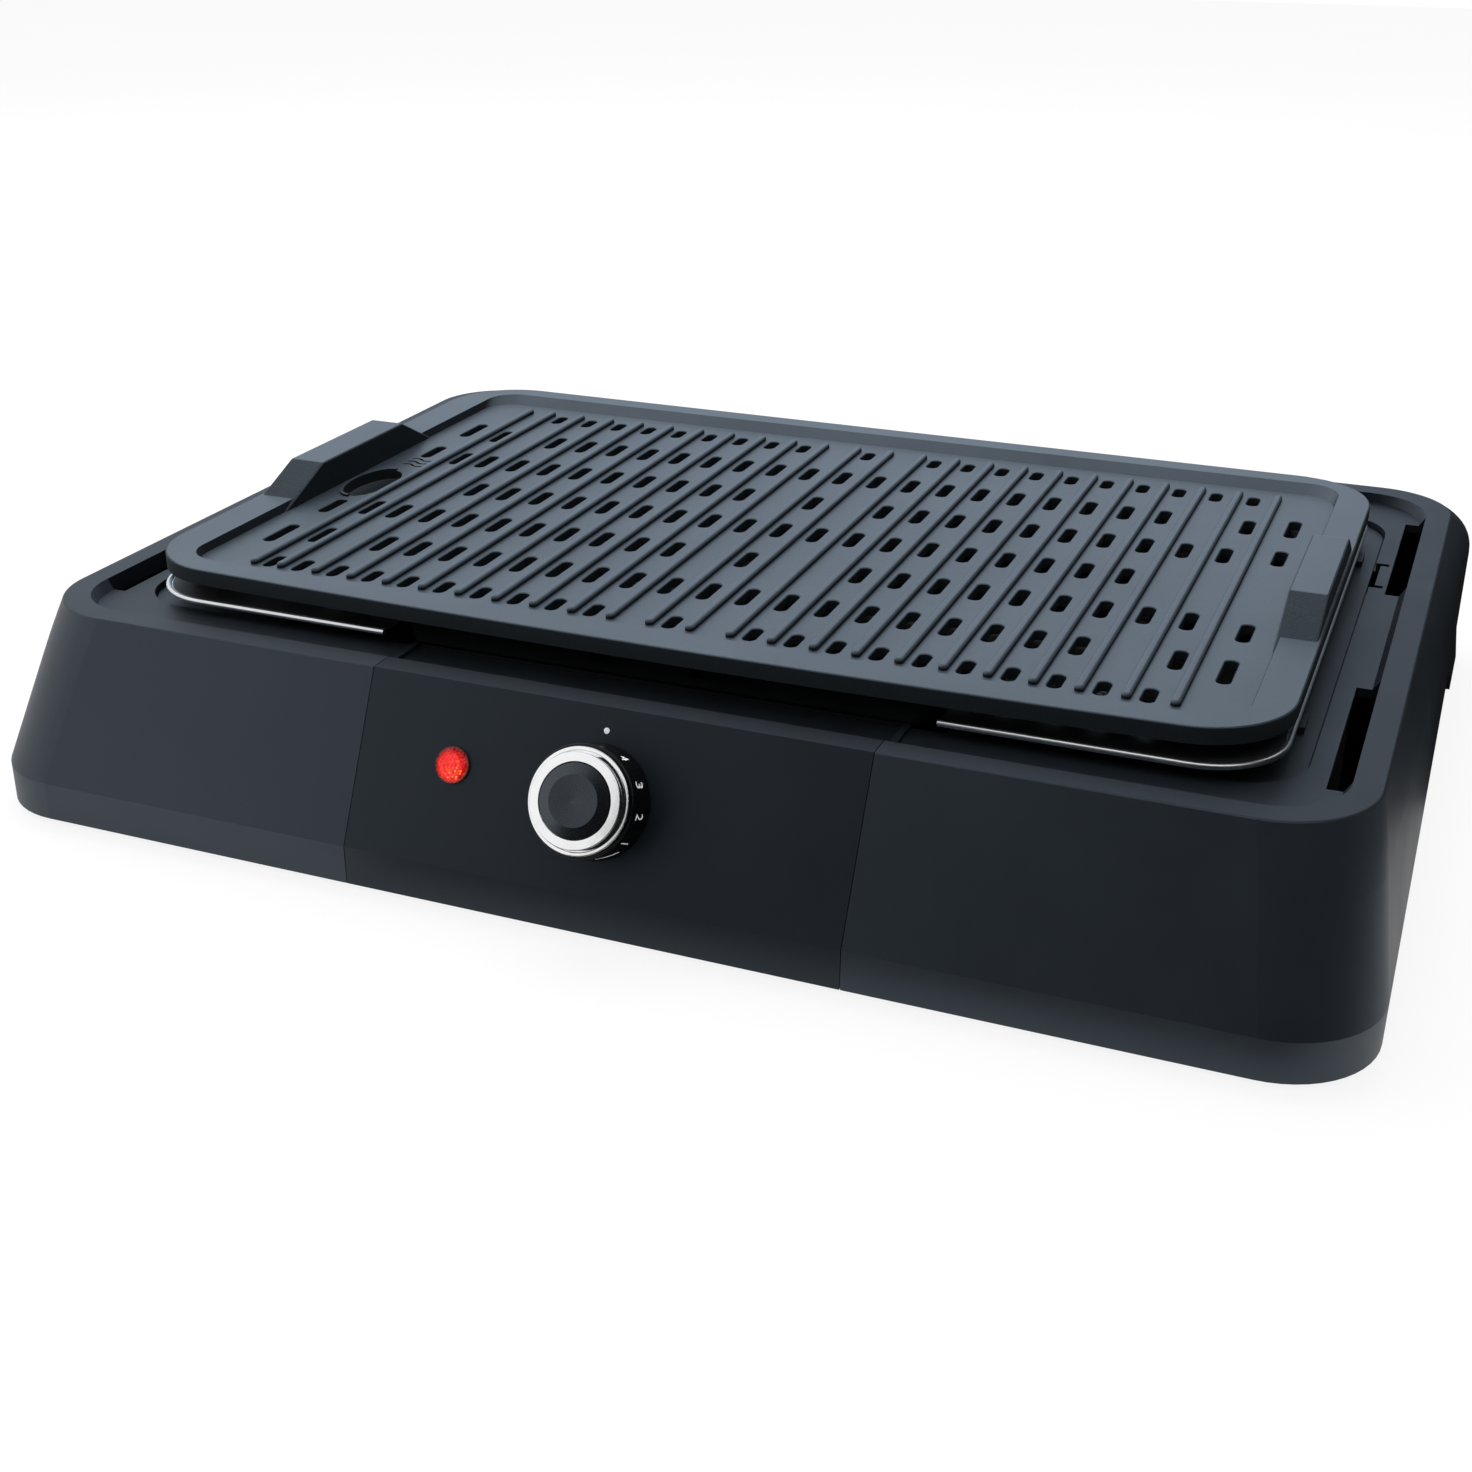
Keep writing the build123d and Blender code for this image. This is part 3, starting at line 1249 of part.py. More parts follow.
def drain_cuts():
    """Oval drain hole beside the left grip and the short wavy grooves behind it."""
    oval = Ellipse(drain_width / 2, drain_length / 2)
    hole = slab(oval, plate_bottom_z - wall, plate_top_z + wall)
    cuts = [Pos(drain_x, drain_y, 0) * hole]
    for i in range(groove_count):
        y = groove_first_y + i * groove_pitch
        half = groove_half / 2
        left = ThreePointArc((groove_x - 2 * half, y), (groove_x - half, y + groove_wave), (groove_x, y))
        right = ThreePointArc((groove_x, y), (groove_x + half, y - groove_wave), (groove_x + 2 * half, y))
        face = trace(left.edges() + right.edges(), groove_width)
        cuts.append(slab(face, plate_floor_z - groove_depth, plate_floor_z + wall))
    return cuts


def drain_ring():
    """Raised half collar on the grip side of the drain hole."""
    outer = Ellipse(drain_width / 2 + drain_collar, drain_length / 2 + drain_collar)
    collar = slab(outer, plate_floor_z - plate_thickness / 2, plate_floor_z + drain_collar_h)
    keep = box(-drain_width, 0, -drain_length, drain_length, 0, plate_top_z + wall)
    return Pos(drain_x, drain_y, 0) * (collar & keep)


def grill_plate():
    """Cast plate with ribs, drain slots, drain hole, end grips and corner feet."""
    plate = plate_blank() + plate_ribs()
    foot_front = plate_foot_front_inset - plate_front
    foot_rear = plate_rear - plate_foot_rear_inset
    for side in (-1, 1):
        plate = plate + plate_grip(side)
        plate = plate + plate_foot(side, foot_front, foot_front + plate_foot_length)
        plate = plate + plate_foot(side, foot_rear - plate_foot_length, foot_rear)
    plate = plate + drain_ring()
    return plate - slot_cuts() - drain_cuts()


nodes = {
    "base_housing": base_housing,
    "base_floor": base_floor,
    "rubber_feet": rubber_feet,
    "floor_screws": floor_screws,
    "drip_tray": drip_tray,
    "control_panel": control_panel,
    "control_cover": control_cover,
    "bridge_cover": bridge_cover,
    "heating_element": heating_element,
    "element_terminals": element_terminals,
    "element_flange": element_flange,
    "element_brackets": element_brackets,
    "thermostat_body": thermostat_body,
    "thermostat_screws": thermostat_screws,
    "thermostat_shaft": thermostat_shaft,
    "knob_skirt": knob_skirt,
    "knob_ring": knob_ring,
    "knob_cap": knob_cap,
    "pilot_lamp_lens": pilot_lamp_lens,
    "lamp_holder": lamp_holder,
    "lamp_clip": lamp_clip,
    "terminal_block": terminal_block,
    "cord_gland": cord_gland,
    "thermal_fuse": thermal_fuse,
    "internal_leads": internal_leads,
    "cover_screws": cover_screws,
    "bridge_screws": bridge_screws,
    "flange_screws": flange_screws,
    "grill_plate": grill_plate,
}
for name, make in nodes.items():
    export_step(place(make()), f"parts/{name}.step")
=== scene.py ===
"""Looks, light and camera of the electric griddle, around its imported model."""
import logging
import math
from dataclasses import dataclass, field
from enum import Enum
from typing import Sequence

import bmesh
import bpy
from mathutils import Matrix, Vector


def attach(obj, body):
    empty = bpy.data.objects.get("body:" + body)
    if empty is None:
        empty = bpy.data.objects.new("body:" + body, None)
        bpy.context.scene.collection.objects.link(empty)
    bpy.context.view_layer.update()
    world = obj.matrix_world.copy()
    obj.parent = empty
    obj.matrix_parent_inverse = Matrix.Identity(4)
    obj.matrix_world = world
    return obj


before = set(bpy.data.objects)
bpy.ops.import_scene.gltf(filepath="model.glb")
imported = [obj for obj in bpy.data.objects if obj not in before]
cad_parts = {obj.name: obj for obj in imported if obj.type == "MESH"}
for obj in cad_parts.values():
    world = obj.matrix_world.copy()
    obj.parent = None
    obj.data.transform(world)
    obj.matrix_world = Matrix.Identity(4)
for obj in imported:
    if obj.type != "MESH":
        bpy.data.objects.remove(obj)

LOG = logging.getLogger("griddle")
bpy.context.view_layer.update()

# Directions of the sloping control panel: to its right, up its slope and away from it.
PANEL_RIGHT = Vector((1.0, 0.0, 0.0))
PANEL_UP = Vector((0.0, 0.441903, 0.897063))
PANEL_OUT = Vector((0.0, -0.897063, 0.441903))

# Points of a printed mark that are nearer than this, in metres, become one.
JOIN_DISTANCE = 0.000002

# Range that most values of a soft noise lie in.
NOISE_SPAN = (0.3, 0.7)

Colour = tuple[float, float, float]
Pair = tuple[float, float]
Point = tuple[float, float, float]
Socket = bpy.types.NodeSocket


class Sum(Enum):
    """Arithmetic that the nodes of a material can do."""

    ADD = "ADD"
    SUBTRACT = "SUBTRACT"
    MULTIPLY = "MULTIPLY"
    POWER = "POWER"
    LARGER = "MAXIMUM"
    SIZE = "ABSOLUTE"
    ABOVE = "GREATER_THAN"
    BELOW = "LESS_THAN"


class Graph:
    """Node graph of one material with short ways to add and join nodes."""

    def __init__(self, name: str) -> None:
        """Make the material and its shader.

        Args:
            name: Name of the material.
        """
        self.material = bpy.data.materials.new(name)
        self.material.use_nodes = True
        self.tree = self.material.node_tree
        self.shader = self.tree.nodes["Principled BSDF"]
        self.coords = self.add("ShaderNodeTexCoord")
        self.place = self.coords.outputs["Object"]

    def add(self, kind: str, **settings: object) -> bpy.types.Node:
        """Add a node.

        Args:
            kind: Type name of the node.
            settings: Attributes to set on it.

        Returns:
            The new node.
        """
        node = self.tree.nodes.new(kind)
        for key, value in settings.items():
            setattr(node, key, value)
        return node

    def join(self, source: Socket, target: Socket) -> None:
        """Join an output to an input."""
        self.tree.links.new(source, target)

    def stretched(self, scale: Point) -> Socket:
        """Object coordinates stretched by a factor along each axis.

        Args:
            scale: Factors along x, y and z.

        Returns:
            Socket of the stretched coordinates.
        """
        node = self.add("ShaderNodeMapping")
        node.inputs["Scale"].default_value = scale
        self.join(self.place, node.inputs["Vector"])
        return node.outputs["Vector"]

    def noise(self, scale: float, detail: float = 2.0, stretch: Point | None = None) -> Socket:
        """Soft noise.

        Args:
            scale: Repeats in a metre.
            detail: Number of finer layers.
            stretch: Factors along x, y and z, if any.

        Returns:
            Socket of the noise value.
        """
        node = self.add("ShaderNodeTexNoise")
        node.inputs["Scale"].default_value = scale
        node.inputs["Detail"].default_value = detail
        self.join(self.stretched(stretch) if stretch else self.place, node.inputs["Vector"])
        return node.outputs["Fac"]

    def cells(self, scale: float) -> Socket:
        """Small cells for flecks and facets.

        Args:
            scale: Repeats in a metre.

        Returns:
            Socket of the distance from the middle of a cell.
        """
        node = self.add("ShaderNodeTexVoronoi")
        node.inputs["Scale"].default_value = scale
        self.join(self.place, node.inputs["Vector"])
        return node.outputs["Distance"]

    def ramp(self, value: Socket, stops: Sequence[float], colours: Sequence[Colour]) -> Socket:
        """Colours spread along a value.

        Args:
            value: Socket of the value.
            stops: Value of each stop, from low to high.
            colours: Colour of each stop.

        Returns:
            Socket of the colour.
        """
        node = self.add("ShaderNodeValToRGB")
        elements = node.color_ramp.elements
        while len(elements) < len(stops):
            elements.new(1.0)
        for element, stop, colour in zip(list(elements), stops, colours):
            element.position = stop
            element.color = (*colour, 1.0)
        self.join(value, node.inputs["Fac"])
        return node.outputs["Color"]

    def spread(self, value: Socket, low: float, high: float,
               start: float = NOISE_SPAN[0], end: float = NOISE_SPAN[1]) -> Socket:
        """A value taken from one range to another.

        Args:
            value: Socket of the value.
            low: Result at the start.
            high: Result at the end.
            start: Value at which the result is low.
            end: Value at which the result is high.

        Returns:
            Socket of the result.
        """
        node = self.add("ShaderNodeMapRange")
        node.inputs["From Min"].default_value = start
        node.inputs["From Max"].default_value = end
        node.inputs["To Min"].default_value = low
        node.inputs["To Max"].default_value = high
        self.join(value, node.inputs["Value"])
        return node.outputs["Result"]

    def along(self, axis: str, normal: bool = False) -> Socket:
        """One part of the place, or of the direction that the surface faces.

        Args:
            axis: Letter of the axis.
            normal: True for the direction.

        Returns:
            Socket of that part.
        """
        node = self.add("ShaderNodeSeparateXYZ")
        self.join(self.coords.outputs["Normal"] if normal else self.place, node.inputs[0])
        return node.outputs[axis]

    def calc(self, work: Sum, first: Socket, second: Socket | float = 0.0) -> Socket:
        """Two values joined by arithmetic.

        Args:
            work: The arithmetic.
            first: Socket of the first value.
            second: Socket of the second value, or a number.

        Returns:
            Socket of the result.
        """
        node = self.add("ShaderNodeMath", operation=work.value)
        self.join(first, node.inputs[0])
        if isinstance(second, (int, float)):
            node.inputs[1].default_value = second
        else:
            self.join(second, node.inputs[1])
        return node.outputs["Value"]

    def weigh(self, values: Sequence[Socket], weights: Sequence[float]) -> Socket:
        """Sum of values, each times its weight.

        Args:
            values: Socket of each value.
            weights: Weight of each value.

        Returns:
            Socket of the sum.
        """
        total, *others = [self.calc(Sum.MULTIPLY, value, weight) for value, weight in zip(values, weights)]
        for other in others:
            total = self.calc(Sum.ADD, total, other)
        return total

    def window(self, value: Socket, low: float, high: float) -> Socket:
        """Value that is 1 between two limits and 0 outside them."""
        above = self.calc(Sum.ABOVE, value, low)
        return self.calc(Sum.MULTIPLY, above, self.calc(Sum.BELOW, value, high))

    def height(self, value: Socket, depth: float, strength: float = 1.0) -> None:
        """Raise the surface by a value, on top of what raises it already.

        Args:
            value: Socket of the height from 0 to 1.
            depth: Height in metres at 1.
            strength: Share of the effect.
        """
        node = self.add("ShaderNodeBump")
        node.inputs["Strength"].default_value = strength
        node.inputs["Distance"].default_value = depth
        before = self.shader.inputs["Normal"].links
        if before:
            self.join(before[0].from_socket, node.inputs["Normal"])
        self.join(value, node.inputs["Height"])
        self.feed("Normal", node.outputs["Normal"])

    def set(self, **sockets: object) -> None:
        """Set constants on the shader, with spaces in the socket names written as underscores."""
        for key, value in sockets.items():
            self.shader.inputs[key.replace("_", " ")].default_value = value

    def feed(self, name: str, value: Socket) -> None:
        """Join a value to an input of the shader."""
        self.join(value, self.shader.inputs[name])


@dataclass(frozen=True)
class Finish:
    """A finish of the griddle's pieces.

    Attributes:
        name: Name of the finish.
        dark: Darker tone.
        light: Lighter tone.
        rough: Least and most roughness.
        gloss: Specular level of the shader.
        metal: Metallic share.
        grain: Repeats of the grain in a metre.
        depth: Depth of the grain in metres.
        coat: Weight of a clear coat.
        tint: Tint of the reflection.
    """

    name: str
    dark: Colour
    light: Colour
    rough: Pair
    gloss: float = 0.5
    metal: float = 0.0
    grain: float = 1500.0
    depth: float = 0.00002
    coat: float = 0.0
    tint: Colour = (1.0, 1.0, 1.0)

    def build(self) -> bpy.types.Material:
        """Make the material of this finish.

        Returns:
            The material.
        """
        graph = Graph(self.name)
        graph.set(Metallic=self.metal, Specular_IOR_Level=self.gloss, Coat_Weight=self.coat,
                  Specular_Tint=(*self.tint, 1.0))
        self.paint(graph)
        return graph.material

    def paint(self, graph: Graph) -> None:
        """Lay the colour, roughness and grain, which each kind of finish does in its own way."""
        raise NotImplementedError

    def dimmed(self, share: float) -> Colour:
        """Darker tone, dimmed to a share of itself."""
        return tuple(part * share for part in self.dark)


@dataclass(frozen=True)
class Moulded(Finish):
    """Plastic, rubber or ink with a fine grain and a slight cloudiness.

    Attributes:
        cloud: Repeats of the cloudiness in a metre.
        weights: Shares of the grain and the cloudiness in the tone.
        span: Tones at which the colour is darkest and lightest.
    """

    cloud: float = 30.0
    weights: Pair = (0.55, 0.45)
    span: Pair = (0.35, 0.65)

    def paint(self, graph: Graph) -> None:
        """Lay a cloudy colour with the grain of the mould.

        Args:
            graph: Graph to add to.
        """
        grain = graph.noise(self.grain, detail=3.0)
        cloud = graph.noise(self.cloud, detail=3.0)
        tone = graph.weigh((grain, cloud), self.weights)
        graph.feed("Base Color", graph.ramp(tone, self.span, (self.dark, self.light)))
        graph.feed("Roughness", graph.spread(tone, *self.rough))
        graph.height(grain, self.depth)


@dataclass(frozen=True)
class CoatedCasting(Finish):
    """Sprayed coat on the plate's casting, with painted shade darkening its steep faces and the ramps of
    the grips; steep faces are also rougher and the ramps coarse.

    Attributes:
        fleck: Repeats of the flecks, as a share of the grain's.
        fleck_size: Distances from a fleck's middle at which it is full and gone.
        cloud: Repeats of the cloudiness in a metre.
        weights: Shares of the grain, the cloudiness and the flecks in the tone.
        span: Tones at which the colour is darkest and lightest on level faces.
        rib_x: Ends of the ribbed field along x.
        rib_y: Ends of the ribbed field along y.
        flank: Upward parts of the normal between which a rib's flank goes from painted shade to full tone.
        steep: The same for the other faces.
        steep_painted_shade: Share of the darker tone that is left on upright faces, as painted shade.
        steep_rough: Roughness that upright faces have on top.
        ramp: Upward parts of the normal that belong to the ramps of the grips.
        ramp_rough: Roughness that the ramps have on top.
        ramp_painted_shade: Share of the tone that is left on the ramps, as painted shade.
        ramp_grain: Repeats of the ramps' coarse skin in a metre.
        ramp_depth: Depth of that skin in metres.
        end_rim: Distance from the middle beyond which the two end rims with the grips lie.
        wave: Repeats of the coat's slow waves, as a share of the grain's.
        wave_depth: Depth of the waves, as a share of the grain's.
        wave_strength: Share of the waves' height.
    """

    fleck: float = 0.6
    fleck_size: Pair = (0.05, 0.4)
    cloud: float = 16.0
    weights: Point = (0.4, 0.45, 0.15)
    span: Pair = (0.32, 0.68)
    rib_x: Pair = (-0.200, 0.200)
    rib_y: Pair = (-0.128, 0.122)
    flank: Pair = (0.0, 0.5)
    steep: Pair = (0.35, 0.92)
    # Painted shade: upright faces keep only this share of the darker tone.
    steep_painted_shade: float = 0.12
    steep_rough: float = 0.42
    ramp: Pair = (0.80, 0.965)
    ramp_rough: float = 0.34
    # Painted shade: the ramps of the grips keep only this share of their tone.
    ramp_painted_shade: float = 0.35
    ramp_grain: float = 1100.0
    ramp_depth: float = 0.00050
    end_rim: float = 0.2105
    wave: float = 0.4
    wave_depth: float = 2.0
    wave_strength: float = 0.6

    def paint(self, graph: Graph) -> None:
        """Lay the flecked coat, then painted shade on the steep faces and the ramps, and the ramps' coarse
        skin.

        Args:
            graph: Graph to add to.
        """
        grain = graph.noise(self.grain, detail=4.0)
        fleck = graph.spread(graph.cells(self.grain * self.fleck), 1.0, 0.0, *self.fleck_size)
        cloud = graph.noise(self.cloud, detail=4.0)
        tone = graph.weigh((grain, cloud, fleck), self.weights)
        upward = graph.along("Z", True)
        level = self._level(graph, upward)
        ramp = graph.calc(Sum.MULTIPLY, graph.window(upward, *self.ramp), self._ends(graph))
        # Painted shade: the tone is darkened on steep faces, the ribs' flanks and the ramps of the grips.
        tone_with_painted_shade = graph.calc(Sum.MULTIPLY, graph.calc(Sum.MULTIPLY, tone, level),
                           graph.spread(ramp, 1.0, self.ramp_painted_shade, 0.0, 1.0))
        colours = (self.dimmed(self.steep_painted_shade), self.dark, self.light)
        graph.feed("Base Color", graph.ramp(tone_with_painted_shade, (0.0, *self.span), colours))
        rough = graph.calc(Sum.ADD, graph.spread(grain, *self.rough),
                           graph.spread(level, self.steep_rough, 0.0, 0.0, 1.0))
        graph.feed("Roughness", graph.calc(Sum.ADD, rough, graph.calc(Sum.MULTIPLY, ramp, self.ramp_rough)))
        wave = graph.noise(self.grain * self.wave, detail=3.0)
        graph.height(wave, self.depth * self.wave_depth, self.wave_strength)
        graph.height(grain, self.depth)
        pebble = graph.calc(Sum.MULTIPLY, graph.noise(self.ramp_grain), ramp)
        graph.height(pebble, self.ramp_depth)

    def _level(self, graph: Graph, upward: Socket) -> Socket:
        """Value that is 1 on level faces and 0 on steep ones, with more of the ribs' flanks at 1, which
        sets where painted shade falls and where the coat is rougher.

        Args:
            graph: Graph to add to.
            upward: Socket of the upward part of the normal.

        Returns:
            Socket of the value.
        """
        ribs = graph.calc(Sum.MULTIPLY, graph.window(graph.along("X"), *self.rib_x),
                          graph.window(graph.along("Y"), *self.rib_y))
        flank = graph.calc(Sum.MULTIPLY, ribs, graph.spread(upward, 0.0, 1.0, *self.flank))
        return graph.calc(Sum.LARGER, flank, graph.spread(upward, 0.0, 1.0, *self.steep))

    def _ends(self, graph: Graph) -> Socket:
        """Value that is 1 over the plate's two end rims."""
        away = graph.calc(Sum.POWER, graph.along("X"), 2.0)
        return graph.calc(Sum.ABOVE, away, self.end_rim ** 2)


@dataclass(frozen=True)
class SheetMetal(Finish):
    """Drawn metal with faint streaks along its length and a few dull patches.

    Attributes:
        streak: Repeats of the streaks in a metre along their length.
        cloud: Repeats of the patches in a metre.
        weights: Shares of the streaks and the patches in the tone.
        span: Tones at which the colour is darkest and lightest.
        streak_strength: Share of the streaks' height.
    """

    streak: float = 14.0
    cloud: float = 22.0
    weights: Pair = (0.6, 0.4)
    span: Pair = NOISE_SPAN
    streak_strength: float = 0.4

    def paint(self, graph: Graph) -> None:
        """Lay the streaked metal.

        Args:
            graph: Graph to add to.
        """
        streak = graph.noise(1.0, detail=3.0, stretch=(self.streak, self.grain, self.grain))
        cloud = graph.noise(self.cloud, detail=3.0)
        self.colour(graph, graph.weigh((streak, cloud), self.weights))
        graph.height(streak, self.depth, self.streak_strength)

    def colour(self, graph: Graph, tone: Socket) -> None:
        """Lay the colour and roughness of a tone."""
        graph.feed("Base Color", graph.ramp(tone, self.span, (self.dark, self.light)))
        graph.feed("Roughness", graph.spread(tone, *self.rough))


@dataclass(frozen=True)
class TraySheet(SheetMetal):
    """Sheet metal of the drip tray, bright on the rolled lip and, inside it, darkened by painted shade and
    rougher.

    Attributes:
        outline: Axis, middle and half length of the tray along x and y.
        corner: Radius of its corners.
        lip: Width of the lip.
        blur: Width over which the lip's brightness fades.
        dull: Shares of the darker tone that are left inside the lip, as painted shade.
        dull_rough: Roughness that the inside has on top.
        shares: Shares of the metal and the lip in the tone.
        stops: Tones of the two colours with painted shade and the two bright colours.
    """

    outline: tuple[tuple[str, float, float], ...] = (("X", 0.0, 0.2273), ("Y", 0.0004, 0.1495))
    corner: float = 0.030
    lip: float = 0.0026
    blur: float = 0.0004
    # Painted shade: inside the lip the darker tone is dimmed to these shares.
    dull: Pair = (0.22, 0.30)
    dull_rough: float = 0.30
    shares: Pair = (0.5, 0.5)
    stops: tuple[float, ...] = (0.14, 0.40, 0.64, 0.85)

    def colour(self, graph: Graph, tone: Socket) -> None:
        """Lay the dull inside and the bright lip, each with the tone of the metal.

        Args:
            graph: Graph to add to.
            tone: Socket of the metal's tone.
        """
        lip = self._on_lip(graph)
        tone = graph.weigh((tone, lip), self.shares)
        # Painted shade: inside the lip the colour drops to dimmed shares of the darker tone.
        colours = (*(self.dimmed(share) for share in self.dull), self.dark, self.light)
        graph.feed("Base Color", graph.ramp(tone, self.stops, colours))
        inside = graph.spread(lip, self.dull_rough, 0.0, 0.0, 1.0)
        graph.feed("Roughness", graph.calc(Sum.ADD, graph.spread(tone, *self.rough), inside))

    def _on_lip(self, graph: Graph) -> Socket:
        """Value that is 1 on the lip round the tray and 0 inside it.

        Args:
            graph: Graph to add to.

        Returns:
            Socket of the value.
        """
        beyond = []
        for axis, middle, half in self.outline:
            away = graph.calc(Sum.SIZE, graph.calc(Sum.SUBTRACT, graph.along(axis), middle))
            past = graph.calc(Sum.LARGER, graph.calc(Sum.SUBTRACT, away, half - self.corner), 0.0)
            beyond.append(graph.calc(Sum.POWER, past, 2.0))
        inner = self.corner - self.lip
        return graph.spread(graph.calc(Sum.ADD, *beyond), 0.0, 1.0, (inner - self.blur) ** 2, inner ** 2)


@dataclass(frozen=True)
class Plated(Finish):
    """Bright plating with faint smears.

    Attributes:
        smear: Repeats of the smears in a metre.
        span: Smears at which the colour is darkest and lightest.
        grain_strength: Share of the grain's height.
    """

    smear: float = 180.0
    span: Pair = NOISE_SPAN
    grain_strength: float = 0.3

    def paint(self, graph: Graph) -> None:
        """Lay the smeared plating.

        Args:
            graph: Graph to add to.
        """
        smear = graph.noise(self.smear, detail=4.0)
        graph.feed("Base Color", graph.ramp(smear, self.span, (self.dark, self.light)))
        graph.feed("Roughness", graph.spread(smear, *self.rough))
        graph.height(graph.noise(self.grain), self.depth, self.grain_strength)


@dataclass(frozen=True)
class Fired(Finish):
    """Surface marked by heat, with patches of the two tones and a slight pitting.

    Attributes:
        patch: Repeats of the patches in a metre.
        weights: Shares of the patches and the pits in the tone.
        span: Tones at which the colour is darkest and lightest.
    """

    patch: float = 90.0
    weights: Pair = (0.65, 0.35)
    span: Pair = (0.36, 0.64)

    def paint(self, graph: Graph) -> None:
        """Lay the patches and the pits.

        Args:
            graph: Graph to add to.
        """
        patch = graph.noise(self.patch, detail=5.0)
        pit = graph.noise(self.grain, detail=4.0)
        tone = graph.weigh((patch, pit), self.weights)
        graph.feed("Base Color", graph.ramp(tone, self.span, (self.dark, self.light)))
        graph.feed("Roughness", graph.spread(pit, *self.rough))
        graph.height(pit, self.depth)


@dataclass(frozen=True)
class Jewel(Finish):
    """Clear coloured plastic of the lamp, with a glow that its facets break up and a painted glint on the
    facets that grows towards the low right.

    Attributes:
        middle: Middle of the lens along x and z.
        half: Half its width along x and z.
        edge: Squared shares of that half between which the glow goes from full to none.
        corner: Places, from high left to low right, between which the painted glint grows.
        facet: Distances from a facet's middle at which its painted glint is full and gone.
        plain: Level of the glow away from the painted glint.
        stops: Levels of the glow for the darker, lighter and painted glint colour.
        deep: Share of the darker tone that is left at the edge.
        painted_glint: Colour of the painted glint.
        glow: Strength of the glow.
        bend: Index of refraction.
        wear: Repeats of the uneven roughness in a metre.
        facet_strength: Share of the facets' height.
    """

    middle: Pair = (-0.0585, 0.0512)
    half: Pair = (0.00675, 0.0061)
    edge: Pair = (0.50, 0.92)
    corner: Pair = (-0.7, 1.0)
    facet: Pair = (0.1, 0.62)
    plain: float = 0.35
    stops: Point = (0.35, 0.62, 0.85)
    deep: float = 0.12
    # Colour of the painted glint on the facets.
    painted_glint: Colour = (1.0, 0.52, 0.10)
    glow: float = 0.28
    bend: float = 1.49
    wear: float = 400.0
    facet_strength: float = 0.5

    def paint(self, graph: Graph) -> None:
        """Lay the glow and a painted glint over the facets.

        Args:
            graph: Graph to add to.
        """
        across, upward = (graph.spread(graph.along(axis), -1.0, 1.0, middle - half, middle + half)
                          for axis, middle, half in zip("XZ", self.middle, self.half))
        away = graph.calc(Sum.ADD, graph.calc(Sum.POWER, across, 2.0), graph.calc(Sum.POWER, upward, 2.0))
        inside = graph.spread(away, 1.0, 0.0, *self.edge)
        # Painted glint: orange on the facets, growing towards the low right, in both the colour and the
        # glow.
        corner = graph.spread(graph.calc(Sum.SUBTRACT, across, upward), 0.0, 1.0, *self.corner)
        facet = graph.cells(self.grain)
        painted_glint = graph.calc(Sum.MULTIPLY, graph.spread(facet, 1.0, 0.0, *self.facet), corner)
        level = graph.calc(Sum.MULTIPLY, inside, graph.spread(painted_glint, self.plain, 1.0, 0.0, 1.0))
        colours = (self.dimmed(self.deep), self.dark, self.light, self.painted_glint)
        tint = graph.ramp(level, (0.0, *self.stops), colours)
        graph.feed("Base Color", tint)
        graph.feed("Emission Color", tint)
        graph.set(Emission_Strength=self.glow, IOR=self.bend)
        graph.feed("Roughness", graph.spread(graph.noise(self.wear), *self.rough))
        graph.height(facet, self.depth, self.facet_strength)


